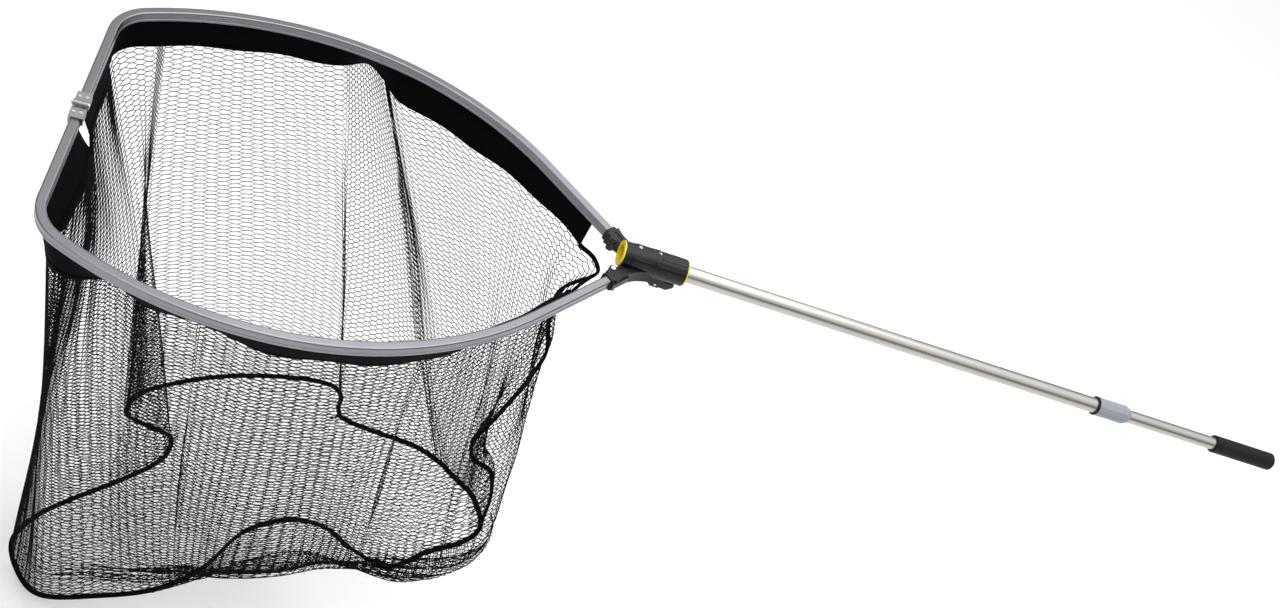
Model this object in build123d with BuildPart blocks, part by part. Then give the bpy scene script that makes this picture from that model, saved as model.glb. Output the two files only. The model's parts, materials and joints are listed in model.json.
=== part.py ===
"""Folding landing net: telescopic handle, sliding fold head, two-part hoop, bands and bag.

Units are millimetres. The origin is on the handle's axis at the middle of the rubber grip.
+X runs along the handle towards the butt, +Y is the far arm's side and +Z is up.
Stations along the handle are measured from the head's front rim towards the butt.
"""

import os
from math import atan2, cos, degrees, radians, sin

from build123d import *

os.makedirs("parts", exist_ok=True)

# Stations along the handle, measured from the head's front rim.
HEAD_X = -1280.0
OUTER_TUBE_START = 5.0
OUTER_TUBE_END = 985.0
COLLAR_START = 940.0
COLLAR_END = 1010.0
INNER_TUBE_START = 285.0
GRIP_START = 1210.0
GRIP_END = 1350.0

# Handle diameters.
OUTER_TUBE_D = 28.0
OUTER_TUBE_BORE = 25.6
INNER_TUBE_D = 24.0
INNER_TUBE_BORE = 21.4
COLLAR_D = 34.0
GRIP_D = 33.0
GRIP_CHAMFER = 6.0
GRIP_CAP = 8.0
GRIP_LEAD = 1.0
RUNNING_GAP = 0.3
FIT_GAP = 0.1

# Plugs and bushes inside the tubes.
BUSH_INSET = 2.0
BUSH_LENGTH = 20.0
BUTT_PLUG_LENGTH = 25.0
TIP_PLUG_INSET = 6.0
TIP_PLUG_LENGTH = 18.0
PLUG_WALL = 2.5
PLUG_END = 4.0

# Twist lock at the end of the outer tube.
COLLET_LENGTH = 14.0
COLLET_SLIT = 2.0
SEAL_LENGTH = 2.7
SEAL_PROUD = 0.4
COLLAR_TAIL = 9.0
COLLAR_TAIL_DROP = 3.5
COLLAR_FLUTES = 10
FLUTE_R = 2.2
FLUTE_OUT = 1.4
FLUTE_STOP = 14.0

# Head: a journal carries the two yoke rings, and a housing behind them carries the lever.
HEAD_LENGTH = 110.0
BARREL_D = 45.0
JOURNAL_D = 37.0
RING_BORE = 37.2
HEAD_BORE = 31.2
LINER_BORE = 28.6
LINER_SLEEVE = 22.0
FLANGE_T = 2.5
FLANGE_D = 43.0
JOURNAL_START = 1.2
FAR_RING = (1.6, 14.0)
NEAR_RING = (14.4, 54.0)
HOUSING_START = 54.4
RING_CLEARANCE_R = 23.6

# Fold axis: it crosses the handle's axis inside the journal and dips towards the front hinge.
HINGE_X = -843.0
HINGE_DROP = 47.0
JOURNAL_MIDDLE = 27.0
DIP = HINGE_DROP / (JOURNAL_MIDDLE - HINGE_X)
FOLD_TILT = degrees(atan2(HINGE_DROP, JOURNAL_MIDDLE - HINGE_X))

# Hoop rail: grooved aluminium with a bore for the band's bead along its underside.
HOOP_DROP = 15.0
RAIL_W = 15.0
RAIL_H = 19.0
RAIL_RADIUS = 3.0
RAIL_WALL = 1.6
BEAD_BORE = 5.4
BEAD_HEIGHT = -5.4
BEAD_SLOT = 2.4
BAR_HALF = 190.0
CORNER_R = 71.0
CORNER_TURN = 61.0
FRONT_FLANK_R = 600.0
FRONT_FLANK_TURN = 29.0
REAR_FLANK_R = 545.0
REAR_FLANK_TURN = 45.0
RAIL_TAIL = 190.0
BUTT_GAP = 0.6
SOCKET_DEPTH = 32.0
SOCKET_W = 27.0
SOCKET_H = 23.0

# Band and bag.
BAND_START = 17.5
BAND_T = 1.6
BAND_H = 55.0
BAND_TAIL = 128.0
BAG_T = 1.6
BAG_HEAD_X = -32.0
BAG_SPLIT = 1.0
BAG_DRIFT = 46.0
BAG_FLOOR_AT_HEAD = -585.0
BAG_FLOOR_SLOPE = 0.65
BAG_FLOOR_MIDDLE = -393.0
BAG_FLOOR_HALF_LENGTH = 415.0
BAG_FLOOR_HALF_WIDTH = 228.0
BAG_FLOOR_POWER = 4

FAR, NEAR = 1, -1
SIDES = {"far": FAR, "near": NEAR}
pieces = {}

FOLD = Plane(
    origin=(HEAD_X, 0, -JOURNAL_MIDDLE * DIP),
    x_dir=(cos(radians(FOLD_TILT)), 0, sin(radians(FOLD_TILT))),
    z_dir=(-sin(radians(FOLD_TILT)), 0, cos(radians(FOLD_TILT))),
)
HOOP = FOLD.offset(-HOOP_DROP)


def handle_plane(station):
    """Plane square to the handle, at a station measured from the head's front rim."""
    return Plane.YZ.offset(HEAD_X + station)


def cross_plane(y):
    """Plane square to the lever's axle, centred on it."""
    return Plane(origin=(HEAD_X + LEVER_X, y, LEVER_Z), x_dir=(1, 0, 0), z_dir=(0, 1, 0))


def fold_plane(station):
    """Plane square to the fold axis, at a station along it."""
    return Plane(origin=FOLD.from_local_coords(Vector(station, 0, 0)), x_dir=(0, 1, 0), z_dir=FOLD.x_dir)


def arm_path(side, start=BUTT_GAP, tail=RAIL_TAIL):
    """Centre line of one half of the hoop, from the front joint to the socket."""
    with BuildLine(HOOP) as path:
        bar = Line((HINGE_X, side * start), (HINGE_X, side * BAR_HALF))
        corner = JernArc(bar @ 1, bar % 1, CORNER_R, -side * CORNER_TURN)
        front_flank = JernArc(corner @ 1, corner % 1, FRONT_FLANK_R, -side * FRONT_FLANK_TURN)
        rear_flank = JernArc(front_flank @ 1, front_flank % 1, REAR_FLANK_R, -side * REAR_FLANK_TURN)
        Line(rear_flank @ 1, rear_flank @ 1 + (rear_flank % 1) * tail)
    return path.line


def section_plane(path):
    """Plane square to a hoop path at its start, with its Y axis up."""
    return Plane(origin=path @ 0, x_dir=FOLD.z_dir.cross(path % 0), z_dir=path % 0)


# Handle, butt section.
with BuildPart() as inner_tube:
    with BuildSketch(handle_plane(INNER_TUBE_START)):
        Circle(INNER_TUBE_D / 2)
        Circle(INNER_TUBE_BORE / 2, mode=Mode.SUBTRACT)
    extrude(amount=GRIP_END - GRIP_CAP - INNER_TUBE_START)
pieces["inner_tube"] = inner_tube

with BuildPart() as inner_bush:
    with BuildSketch(handle_plane(INNER_TUBE_START + BUSH_INSET)):
        Circle(OUTER_TUBE_BORE / 2 - FIT_GAP)
        Circle(INNER_TUBE_D / 2, mode=Mode.SUBTRACT)
    extrude(amount=BUSH_LENGTH)
pieces["inner_bush"] = inner_bush

with BuildPart() as rubber_grip:
    with BuildSketch(handle_plane(GRIP_START)):
        Circle(GRIP_D / 2)
    extrude(amount=GRIP_END - GRIP_START)
    chamfer(rubber_grip.faces().sort_by(Axis.X)[-1].edges(), GRIP_CHAMFER)
    fillet(rubber_grip.faces().sort_by(Axis.X)[0].edges(), GRIP_LEAD)
    with BuildSketch(handle_plane(GRIP_START)):
        Circle(INNER_TUBE_D / 2)
    extrude(amount=GRIP_END - GRIP_CAP - GRIP_START, mode=Mode.SUBTRACT)
pieces["rubber_grip"] = rubber_grip

with BuildPart() as butt_plug:
    with BuildSketch(handle_plane(GRIP_END - GRIP_CAP - BUTT_PLUG_LENGTH)):
        Circle(INNER_TUBE_BORE / 2)
    extrude(amount=BUTT_PLUG_LENGTH)
    with BuildSketch(handle_plane(GRIP_END - GRIP_CAP - BUTT_PLUG_LENGTH)):
        Circle(INNER_TUBE_BORE / 2 - PLUG_WALL)
    extrude(amount=BUTT_PLUG_LENGTH - PLUG_END, mode=Mode.SUBTRACT)
pieces["butt_plug"] = butt_plug

# Handle, outer section, with the two detent holes that the lock pin drops into.
LOCK_PIN_X = 63.0
LOCK_PIN_D = 5.0
SLIDE_TRAVEL = 720.0
with BuildPart() as outer_tube:
    with BuildSketch(handle_plane(OUTER_TUBE_START)):
        Circle(OUTER_TUBE_D / 2)
        Circle(OUTER_TUBE_BORE / 2, mode=Mode.SUBTRACT)
    extrude(amount=OUTER_TUBE_END - OUTER_TUBE_START)
    for station in (LOCK_PIN_X, LOCK_PIN_X + SLIDE_TRAVEL):
        with BuildSketch(Plane(origin=(HEAD_X + station, 0, -OUTER_TUBE_D / 2 - 1), z_dir=(0, 0, 1))):
            Circle(LOCK_PIN_D / 2 + RUNNING_GAP)
        extrude(amount=OUTER_TUBE_D / 2, mode=Mode.SUBTRACT)
pieces["outer_tube"] = outer_tube

with BuildPart() as tip_plug:
    with BuildSketch(handle_plane(OUTER_TUBE_START + TIP_PLUG_INSET)):
        Circle(OUTER_TUBE_BORE / 2)
    extrude(amount=TIP_PLUG_LENGTH)
    with BuildSketch(handle_plane(OUTER_TUBE_START + TIP_PLUG_INSET + PLUG_END)):
        Circle(OUTER_TUBE_BORE / 2 - PLUG_WALL)
    extrude(amount=TIP_PLUG_LENGTH - PLUG_END, mode=Mode.SUBTRACT)
pieces["tip_plug"] = tip_plug

with BuildPart() as collet:
    with BuildSketch(handle_plane(OUTER_TUBE_END)):
        Circle(OUTER_TUBE_D / 2)
        Circle(INNER_TUBE_D / 2 + RUNNING_GAP, mode=Mode.SUBTRACT)
        with Locations((0, OUTER_TUBE_D / 2)):
            Rectangle(COLLET_SLIT, OUTER_TUBE_D / 2, mode=Mode.SUBTRACT)
    extrude(amount=COLLET_LENGTH)
pieces["collet"] = collet

with BuildPart() as collar_seal:
    with BuildSketch(handle_plane(COLLAR_START - SEAL_LENGTH - RUNNING_GAP)):
        Circle(COLLAR_D / 2 + SEAL_PROUD)
        Circle(OUTER_TUBE_D / 2, mode=Mode.SUBTRACT)
    extrude(amount=SEAL_LENGTH)
pieces["collar_seal"] = collar_seal

COLLAR_NOSE_BORE = INNER_TUBE_D + 2 * RUNNING_GAP
with BuildPart() as lock_collar:
    with BuildSketch(handle_plane(COLLAR_START)):
        Circle(COLLAR_D / 2)
    extrude(amount=COLLAR_END - COLLAR_START)
    chamfer(lock_collar.faces().sort_by(Axis.X)[-1].edges(), length=COLLAR_TAIL, length2=COLLAR_TAIL_DROP)
    with BuildSketch(handle_plane(COLLAR_START)):
        with PolarLocations(COLLAR_D / 2 + FLUTE_OUT, COLLAR_FLUTES):
            Circle(FLUTE_R)
    extrude(amount=COLLAR_END - COLLAR_START - FLUTE_STOP, mode=Mode.SUBTRACT)
    with BuildSketch(handle_plane(COLLAR_START)):
        Circle(OUTER_TUBE_D / 2 + RUNNING_GAP)
    extrude(amount=OUTER_TUBE_END + COLLET_LENGTH + RUNNING_GAP - COLLAR_START, mode=Mode.SUBTRACT)
    with BuildSketch(handle_plane(COLLAR_START)):
        Circle(COLLAR_NOSE_BORE / 2)
    extrude(amount=COLLAR_END - COLLAR_START, mode=Mode.SUBTRACT)
pieces["lock_collar"] = lock_collar

# Head: tilted journal in front, straight housing behind, lugs for the lever's axle below.
LEVER_X = 74.0
LEVER_Z = -33.0
LEVER_W = 16.0
LEVER_START = 57.5
LEVER_END = 106.0
LEVER_TOP = -26.0
LEVER_BOTTOM = -42.0
LEVER_ROUND = 1.2
LUG_T = 4.0
LUG_START = HOUSING_START + 4.0
LUG_BOTTOM = -39.0
LUG_ROOT = -14.0
LUG_REACH = 7.0
AXLE_D = 4.0
SPRING_X = 96.0
SPRING_D = 7.0
SPRING_SEAT = -34.0
PIN_BASE = -30.0
PIN_SWING = 2.8
HOUSING_OVERLAP = 4.0
ACROSS = 20.0
with BuildPart() as head_core:
    with BuildSketch(fold_plane(JOURNAL_START)):
        Circle(JOURNAL_D / 2)
    extrude(amount=HOUSING_START)
    with BuildSketch(fold_plane(HOUSING_START)):
        Circle(BARREL_D / 2)
    extrude(amount=1.5 * HOUSING_OVERLAP)
    with BuildSketch(handle_plane(HOUSING_START + HOUSING_OVERLAP)):
        Circle(BARREL_D / 2)
    extrude(amount=HEAD_LENGTH - HOUSING_START - HOUSING_OVERLAP)
    for lug_y in (-(LEVER_W / 2 + LUG_T + RUNNING_GAP), LEVER_W / 2 + RUNNING_GAP):
        with BuildSketch(Plane.XZ.offset(-lug_y - LUG_T)):
            with BuildLine():
                Polyline(
                    (HEAD_X + LUG_START, LUG_ROOT),
                    (HEAD_X + LUG_START, LUG_BOTTOM + LUG_REACH),
                    (HEAD_X + LEVER_X - LUG_REACH, LUG_BOTTOM),
                    (HEAD_X + LEVER_X + LUG_REACH, LUG_BOTTOM),
                    (HEAD_X + LEVER_X + 2 * LUG_REACH, LUG_ROOT),
                    close=True,
                )
            make_face()
        extrude(amount=LUG_T)
    with BuildSketch(handle_plane(0)):
        Circle(HEAD_BORE / 2)
    extrude(amount=HEAD_LENGTH, mode=Mode.SUBTRACT)
    with BuildSketch(Plane(origin=(HEAD_X + LOCK_PIN_X - 1, 0, PIN_BASE), z_dir=(0, 0, 1))):
        SlotOverall(LOCK_PIN_D + PIN_SWING, LOCK_PIN_D + 2 * RUNNING_GAP)
    extrude(amount=ACROSS, mode=Mode.SUBTRACT)
    with BuildSketch(cross_plane(-ACROSS)):
        Circle(AXLE_D / 2)
    extrude(amount=2 * ACROSS, mode=Mode.SUBTRACT)
pieces["head_core"] = head_core

for name, start, flange_start in (
    ("front_liner", 0.0, -FLANGE_T),
    ("rear_liner", HEAD_LENGTH - LINER_SLEEVE, HEAD_LENGTH),
):
    with BuildPart() as liner:
        with BuildSketch(handle_plane(start)):
            Circle((HEAD_BORE - FIT_GAP) / 2)
        extrude(amount=LINER_SLEEVE)
        with BuildSketch(handle_plane(flange_start)):
            Circle(FLANGE_D / 2)
        extrude(amount=FLANGE_T)
        with BuildSketch(handle_plane(-FLANGE_T)):
            Circle(LINER_BORE / 2)
        extrude(amount=HEAD_LENGTH + 2 * FLANGE_T, mode=Mode.SUBTRACT)
    pieces[name] = liner

AXLE_HALF = LEVER_W / 2 + RUNNING_GAP + LUG_T + 0.7
with BuildPart() as lever_axle:
    with BuildSketch(cross_plane(-AXLE_HALF)):
        Circle(AXLE_D / 2)
    extrude(amount=2 * AXLE_HALF)
pieces["lever_axle"] = lever_axle

with BuildPart() as release_lever:
    with BuildSketch(Plane.XZ.offset(-LEVER_W / 2)):
        with BuildLine():
            Polyline(
                (HEAD_X + LEVER_START, LEVER_TOP),
                (HEAD_X + LEVER_END, LEVER_TOP - 0.5),
                (HEAD_X + LEVER_END, LEVER_Z),
                (HEAD_X + LEVER_END - 9, LEVER_BOTTOM),
                (HEAD_X + LEVER_START + 8.5, LEVER_BOTTOM + 2),
                (HEAD_X + LEVER_START, LEVER_Z),
                close=True,
            )
        make_face()
    extrude(amount=LEVER_W)
    fillet(release_lever.edges().filter_by(Axis.Y), LEVER_ROUND)
    with BuildSketch(cross_plane(-ACROSS)):
        Circle(AXLE_D / 2 + FIT_GAP)
    extrude(amount=2 * ACROSS, mode=Mode.SUBTRACT)
    with BuildSketch(Plane(origin=(HEAD_X + SPRING_X, 0, SPRING_SEAT), z_dir=(0, 0, 1))):
        Circle(SPRING_D / 2 + 1)
    extrude(amount=ACROSS, mode=Mode.SUBTRACT)
    with BuildSketch(Plane(origin=(HEAD_X + LOCK_PIN_X, 0, PIN_BASE), z_dir=(0, 0, 1))):
        Circle(LOCK_PIN_D / 2)
    extrude(amount=ACROSS, mode=Mode.SUBTRACT)
pieces["release_lever"] = release_lever

with BuildPart() as lock_pin:
    with BuildSketch(Plane(origin=(HEAD_X + LOCK_PIN_X, 0, PIN_BASE), z_dir=(0, 0, 1))):
        Circle(LOCK_PIN_D / 2)
    extrude(amount=-PIN_BASE - OUTER_TUBE_D / 2 - RUNNING_GAP)
pieces["lock_pin"] = lock_pin

SPRING_WIRE = 0.9
SPRING_PITCH = 2.2
SPRING_TOP = -BARREL_D / 2 - FIT_GAP
SPRING_BOTTOM = SPRING_SEAT + 0.2
with BuildPart() as lever_spring:
    with BuildLine():
        coil = Helix(
            pitch=SPRING_PITCH,
            height=SPRING_TOP - SPRING_BOTTOM - SPRING_WIRE,
            radius=(SPRING_D - SPRING_WIRE) / 2,
            center=(HEAD_X + SPRING_X, 0, SPRING_BOTTOM + SPRING_WIRE / 2),
        )
    with BuildSketch(Plane(origin=coil @ 0, z_dir=coil % 0)):
        Circle(SPRING_WIRE / 2)
    sweep(path=coil)
pieces["lever_spring"] = lever_spring

# Two screws close the barrel on its upper far side: one in the near ring, one in the housing.
SCREW_LEAN = radians(8.0)
SCREW_X = {"ring_screw": 24.0, "housing_screw": 58.5}
SCREW_HEAD_D = 6.4
SCREW_HEAD_T = 1.5
SCREW_D = 3.0
SCREW_SINK = 1.2
SCREW_DEPTH = 2.6
SCREW_SOCKET_R = 1.5


def screw_seat(name):
    """Plane that touches the barrel where one of its screws sits."""
    up = Vector(0, sin(SCREW_LEAN), cos(SCREW_LEAN))
    return Plane(origin=Vector(HEAD_X + SCREW_X[name], 0, 0) + up * (BARREL_D / 2), x_dir=(1, 0, 0), z_dir=up)


def screw_cut(name):
    """Seat and hole for one of the barrel's screws."""
    with BuildPart() as cut:
        with BuildSketch(screw_seat(name).offset(-SCREW_SINK - 0.05)):
            Circle(SCREW_HEAD_D / 2 + 0.05)
        extrude(amount=BARREL_D / 4)
        with BuildSketch(screw_seat(name).offset(-SCREW_DEPTH - 0.1)):
            Circle(SCREW_D / 2)
        extrude(amount=SCREW_DEPTH)
    return cut.part


for name in SCREW_X:
    with BuildPart() as screw:
        with BuildSketch(screw_seat(name).offset(-SCREW_SINK)):
            Circle(SCREW_HEAD_D / 2)
            RegularPolygon(SCREW_SOCKET_R, 6, mode=Mode.SUBTRACT)
        extrude(amount=SCREW_HEAD_T)
        with BuildSketch(screw_seat(name).offset(-SCREW_DEPTH)):
            Circle(SCREW_D / 2)
        extrude(amount=SCREW_DEPTH - SCREW_SINK + 0.2)
    pieces[name] = screw

with head_core:
    add(screw_cut("housing_screw"), mode=Mode.SUBTRACT)

# Arms: each has a yoke on the journal, a rail, a band, a front hinge leaf and half of the bag.
RINGS = {"far": FAR_RING, "near": NEAR_RING}
WING_ROOT = {"far": 50.0, "near": NEAR_RING[1]}
OTHER_RING = {"far": (FAR_RING[1] + 0.2, 62.0), "near": (-12.0, FAR_RING[1] + 0.2)}
CLAMP_D = 5.0
CLAMP_HEAD_D = 8.5
CLAMP_HEAD_T = 1.6
EAR_ALONG = 20.5
EAR_INWARD = 11.5
EAR_R = 7.0
WING_LAP = 6.0
WING_INNER = 8.0
WING_EDGE = 21.0
WING_FRONT = 25.0
WAIST = 9.0
SOCKET_BEVEL = 5.0
SOCKET_FLOOR = 4.0
RECESS_ALONG = 20.0
RECESS_LENGTH = 20.0
RECESS_W = 6.0
RECESS_DEPTH = 1.2
VOID_H = 8.6
VOID_HEIGHT = 3.4
GROOVE_R = 1.5
GROOVE_OUT = 0.6
GROOVE_HEIGHT = -2.2

for arm, side in SIDES.items():
    path = arm_path(side)
    tail_dir = path % 1
    mouth = path @ 1 - tail_dir * SOCKET_DEPTH
    socket_plane = Plane(origin=mouth, x_dir=FOLD.z_dir.cross(tail_dir), z_dir=tail_dir)
    mouth_local = FOLD.to_local_coords(mouth)
    heading = FOLD.to_local_coords(mouth + tail_dir) - mouth_local
    outward = Vector(-heading.Y * side, heading.X * side, 0)
    ring_start, ring_end = RINGS[arm]
    ear = mouth_local + heading * EAR_ALONG - outward * EAR_INWARD

    with BuildPart() as yoke:
        with BuildSketch(FOLD.offset(-HOOP_DROP - SOCKET_H / 2)):
            with BuildLine():
                shoulder = mouth_local + heading * WING_LAP + outward * (SOCKET_W / 2)
                armpit = mouth_local + heading * WING_LAP - outward * (SOCKET_W / 2)
                root = Vector(WING_ROOT[arm], side * WING_EDGE, 0)
                waist = (shoulder + root) * 0.5 - outward * WAIST
                ThreePointArc((shoulder.X, shoulder.Y), (waist.X, waist.Y), (root.X, root.Y))
                Polyline(
                    (root.X, root.Y),
                    (root.X, side * WING_INNER),
                    (FAR_RING[0], side * WING_INNER),
                    (FAR_RING[0], side * WING_FRONT),
                    (armpit.X, armpit.Y),
                    (shoulder.X, shoulder.Y),
                )
            make_face()
            with Locations((ear.X, ear.Y)):
                Circle(EAR_R)
        extrude(amount=SOCKET_H)
        with BuildSketch(socket_plane):
            Rectangle(SOCKET_W, SOCKET_H)
            chamfer(vertices(), SOCKET_BEVEL)
        extrude(amount=SOCKET_DEPTH + SOCKET_FLOOR)
        with BuildSketch(fold_plane(OTHER_RING[arm][0])):
            Circle(RING_CLEARANCE_R)
        extrude(amount=OTHER_RING[arm][1] - OTHER_RING[arm][0], mode=Mode.SUBTRACT)
        with BuildSketch(fold_plane(ring_start)):
            Circle(BARREL_D / 2)
        extrude(amount=ring_end - ring_start)
        with BuildSketch(fold_plane(ring_start - 1)):
            Circle(RING_BORE / 2)
        extrude(amount=ring_end - ring_start + 2, mode=Mode.SUBTRACT)
        with BuildSketch(socket_plane):
            Rectangle(RAIL_W + 2 * FIT_GAP, RAIL_H + 2 * FIT_GAP)
        extrude(amount=SOCKET_DEPTH + RUNNING_GAP, mode=Mode.SUBTRACT)
        with BuildSketch(FOLD.offset(-HOOP_DROP - SOCKET_H)):
            with Locations((ear.X, ear.Y)):
                Circle(CLAMP_D / 2)
        extrude(amount=2 * SOCKET_H, mode=Mode.SUBTRACT)
        if arm == "near":
            add(screw_cut("ring_screw"), mode=Mode.SUBTRACT)
        else:
            recess = mouth_local + heading * RECESS_ALONG
            turn = degrees(atan2(heading.Y, heading.X))
            with BuildSketch(FOLD.offset(-HOOP_DROP + SOCKET_H / 2)):
                with Locations(Location((recess.X, recess.Y, 0), (0, 0, turn))):
                    SlotOverall(RECESS_LENGTH, RECESS_W)
            extrude(amount=-RECESS_DEPTH, mode=Mode.SUBTRACT)
    pieces[f"{arm}_yoke"] = yoke

    with BuildPart() as clamp_screw:
        with BuildSketch(FOLD.offset(-HOOP_DROP - SOCKET_H / 2)):
            with Locations((ear.X, ear.Y)):
                Circle(CLAMP_D / 2)
        extrude(amount=SOCKET_H)
        for height in (SOCKET_H / 2, -SOCKET_H / 2 - CLAMP_HEAD_T):
            with BuildSketch(FOLD.offset(-HOOP_DROP + height)):
                with Locations((ear.X, ear.Y)):
                    Circle(CLAMP_HEAD_D / 2)
            extrude(amount=CLAMP_HEAD_T)
    pieces[f"{arm}_clamp_screw"] = clamp_screw

    with BuildPart() as rail:
        with BuildSketch(section_plane(path)):
            RectangleRounded(RAIL_W, RAIL_H, RAIL_RADIUS)
            with Locations((0, VOID_HEIGHT)):
                RectangleRounded(RAIL_W - 2 * RAIL_WALL, VOID_H, RAIL_RADIUS / 2, mode=Mode.SUBTRACT)
            with Locations((0, BEAD_HEIGHT)):
                Circle(BEAD_BORE / 2, mode=Mode.SUBTRACT)
            with Locations((0, BEAD_HEIGHT - BEAD_BORE)):
                Rectangle(BEAD_SLOT, 2 * BEAD_BORE, mode=Mode.SUBTRACT)
            for groove_out in (RAIL_W / 2 + GROOVE_OUT, -RAIL_W / 2 - GROOVE_OUT):
                with Locations((groove_out, GROOVE_HEIGHT)):
                    Circle(GROOVE_R, mode=Mode.SUBTRACT)
        sweep(path=path)
    pieces[f"{arm}_rail"] = rail

    band_path = arm_path(side, BAND_START, BAND_TAIL)
    band_bottom = -RAIL_H / 2 - BAND_H
    with BuildPart() as band:
        with BuildSketch(section_plane(band_path)):
            with Locations((0, BEAD_HEIGHT)):
                Circle(BEAD_BORE / 2 - RUNNING_GAP)
            with Locations((0, (BEAD_HEIGHT + band_bottom) / 2)):
                Rectangle(BAND_T, BEAD_HEIGHT - band_bottom)
        sweep(path=band_path)
    pieces[f"{arm}_band"] = band

# Front hinge: a saddle on each rail end, knuckles on the fold axis and one pin through them.
SADDLE_T = 3.0
SADDLE_BORE = RAIL_W + 4 * FIT_GAP
SADDLE_W = SADDLE_BORE + 2 * SADDLE_T
SADDLE_LENGTH = 28.0
SADDLE_SKIRT = 14.0
KNUCKLE_R = 5.0
KNUCKLE_SPLIT = 7.0
KNUCKLE_GAP = 0.15
KNUCKLE_ROOM = 0.6
HINGE_PIN_D = 4.0
PIN_CLEARANCE = 0.08
PIN_HEAD_R = 4.0
PIN_HEAD_T = 2.0
RIVET_R = 2.6
RIVET_T = 1.2
RIVET_Y = 17.0
RIVET_X = 5.0
SADDLE_TOP = -HOOP_DROP + RAIL_H / 2 + 2 * FIT_GAP + SADDLE_T
FAR_KNUCKLE = KNUCKLE_SPLIT / 2 + KNUCKLE_GAP
KNUCKLES = {
    "far": ((-SADDLE_W / 2, -FAR_KNUCKLE), (FAR_KNUCKLE, SADDLE_W / 2)),
    "near": ((-KNUCKLE_SPLIT / 2, KNUCKLE_SPLIT / 2),),
}

for arm, side in SIDES.items():
    with BuildPart() as saddle:
        with BuildSketch(FOLD.offset(SADDLE_TOP - SADDLE_SKIRT)):
            with Locations((HINGE_X, side * (KNUCKLE_R + KNUCKLE_ROOM + SADDLE_LENGTH) / 2)):
                Rectangle(SADDLE_W, SADDLE_LENGTH - KNUCKLE_R - KNUCKLE_ROOM)
        extrude(amount=SADDLE_SKIRT)
        with BuildSketch(FOLD.offset(SADDLE_TOP - SADDLE_SKIRT - 1)):
            with Locations((HINGE_X, side * SADDLE_LENGTH / 2)):
                Rectangle(SADDLE_BORE, 2 * SADDLE_LENGTH)
        extrude(amount=SADDLE_SKIRT + 1 - SADDLE_T, mode=Mode.SUBTRACT)
        for start, end in KNUCKLES[arm]:
            with BuildSketch(fold_plane(HINGE_X + start)):
                Circle(KNUCKLE_R)
                with Locations((side * (KNUCKLE_R + 1) / 2, (SADDLE_TOP - SADDLE_T) / 2)):
                    Rectangle(KNUCKLE_R + 1, -(SADDLE_TOP - SADDLE_T))
            extrude(amount=end - start)
        with BuildSketch(fold_plane(HINGE_X - SADDLE_W)):
            Circle(HINGE_PIN_D / 2 + PIN_CLEARANCE)
        extrude(amount=2 * SADDLE_W, mode=Mode.SUBTRACT)
    pieces[f"{arm}_saddle"] = saddle

    with BuildPart() as saddle_rivets:
        with BuildSketch(FOLD.offset(SADDLE_TOP)):
            with Locations((HINGE_X - RIVET_X, side * RIVET_Y), (HINGE_X + RIVET_X, side * RIVET_Y)):
                Circle(RIVET_R)
        extrude(amount=RIVET_T)
    pieces[f"{arm}_saddle_rivets"] = saddle_rivets

with BuildPart() as hinge_pin:
    with BuildSketch(fold_plane(HINGE_X - SADDLE_W / 2 - RUNNING_GAP)):
        Circle(HINGE_PIN_D / 2)
    extrude(amount=SADDLE_W + 2 * RUNNING_GAP)
    for station in (-SADDLE_W / 2 - RUNNING_GAP - PIN_HEAD_T, SADDLE_W / 2 + RUNNING_GAP):
        with BuildSketch(fold_plane(HINGE_X + station)):
            Circle(PIN_HEAD_R)
        extrude(amount=PIN_HEAD_T)
pieces["hinge_pin"] = hinge_pin

# Bag: one closed shell with a sloping floor, lofted from the rim and split along the fold.
RIM_SHARES = (0.168, 0.2, 0.236, 0.33, 0.42, 0.51, 0.6, 0.69, 0.78, 0.87, 0.99)
BAG_TOP = -HOOP_DROP - RAIL_H / 2 - BAND_H - RUNNING_GAP
rim_path = arm_path(FAR, BUTT_GAP, BAND_TAIL)
half_rim = [FOLD.to_local_coords(rim_path @ share) for share in RIM_SHARES]
half_rim = [Vector(point.X, point.Y, 0) for point in half_rim]
half_rim.append(Vector(BAG_HEAD_X, half_rim[-1].Y * 0.6, 0))
rim = half_rim + [Vector(point.X, -point.Y, 0) for point in reversed(half_rim)]

FLOOR_DIR = Vector(1, 0, BAG_FLOOR_SLOPE).normalized()
FLOOR = Plane(
    origin=(HEAD_X, 0, BAG_FLOOR_AT_HEAD),
    x_dir=FLOOR_DIR,
    z_dir=(-FLOOR_DIR.Z, 0, FLOOR_DIR.X),
)


def floor_point(rim_point):
    """Corner of the floor under a corner of the rim, on a rounded rectangle."""
    x = rim_point.X + BAG_DRIFT
    share = abs(x - BAG_FLOOR_MIDDLE) / BAG_FLOOR_HALF_LENGTH
    half_width = BAG_FLOOR_HALF_WIDTH * (1 - share**BAG_FLOOR_POWER) ** (1 / BAG_FLOOR_POWER)
    return (x / FLOOR_DIR.X, half_width if rim_point.Y > 0 else -half_width)


def bag_body(inset):
    """Closed loft from the bag's rim to its floor, moved in by the inset on every side."""
    with BuildPart() as body:
        with BuildSketch(FOLD.offset(BAG_TOP + (1 if inset else 0))) as mouth_face:
            with BuildLine():
                Polyline(*[(point.X, point.Y) for point in rim], close=True)
            make_face()
            if inset:
                offset(amount=-inset, kind=Kind.INTERSECTION, mode=Mode.REPLACE)
        with BuildSketch(FLOOR.offset(inset)) as floor_face:
            with BuildLine():
                Polyline(*[floor_point(point) for point in rim], close=True)
            make_face()
            if inset:
                offset(amount=-inset, kind=Kind.INTERSECTION, mode=Mode.REPLACE)
        loft(ruled=True)
    return body.part


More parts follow.
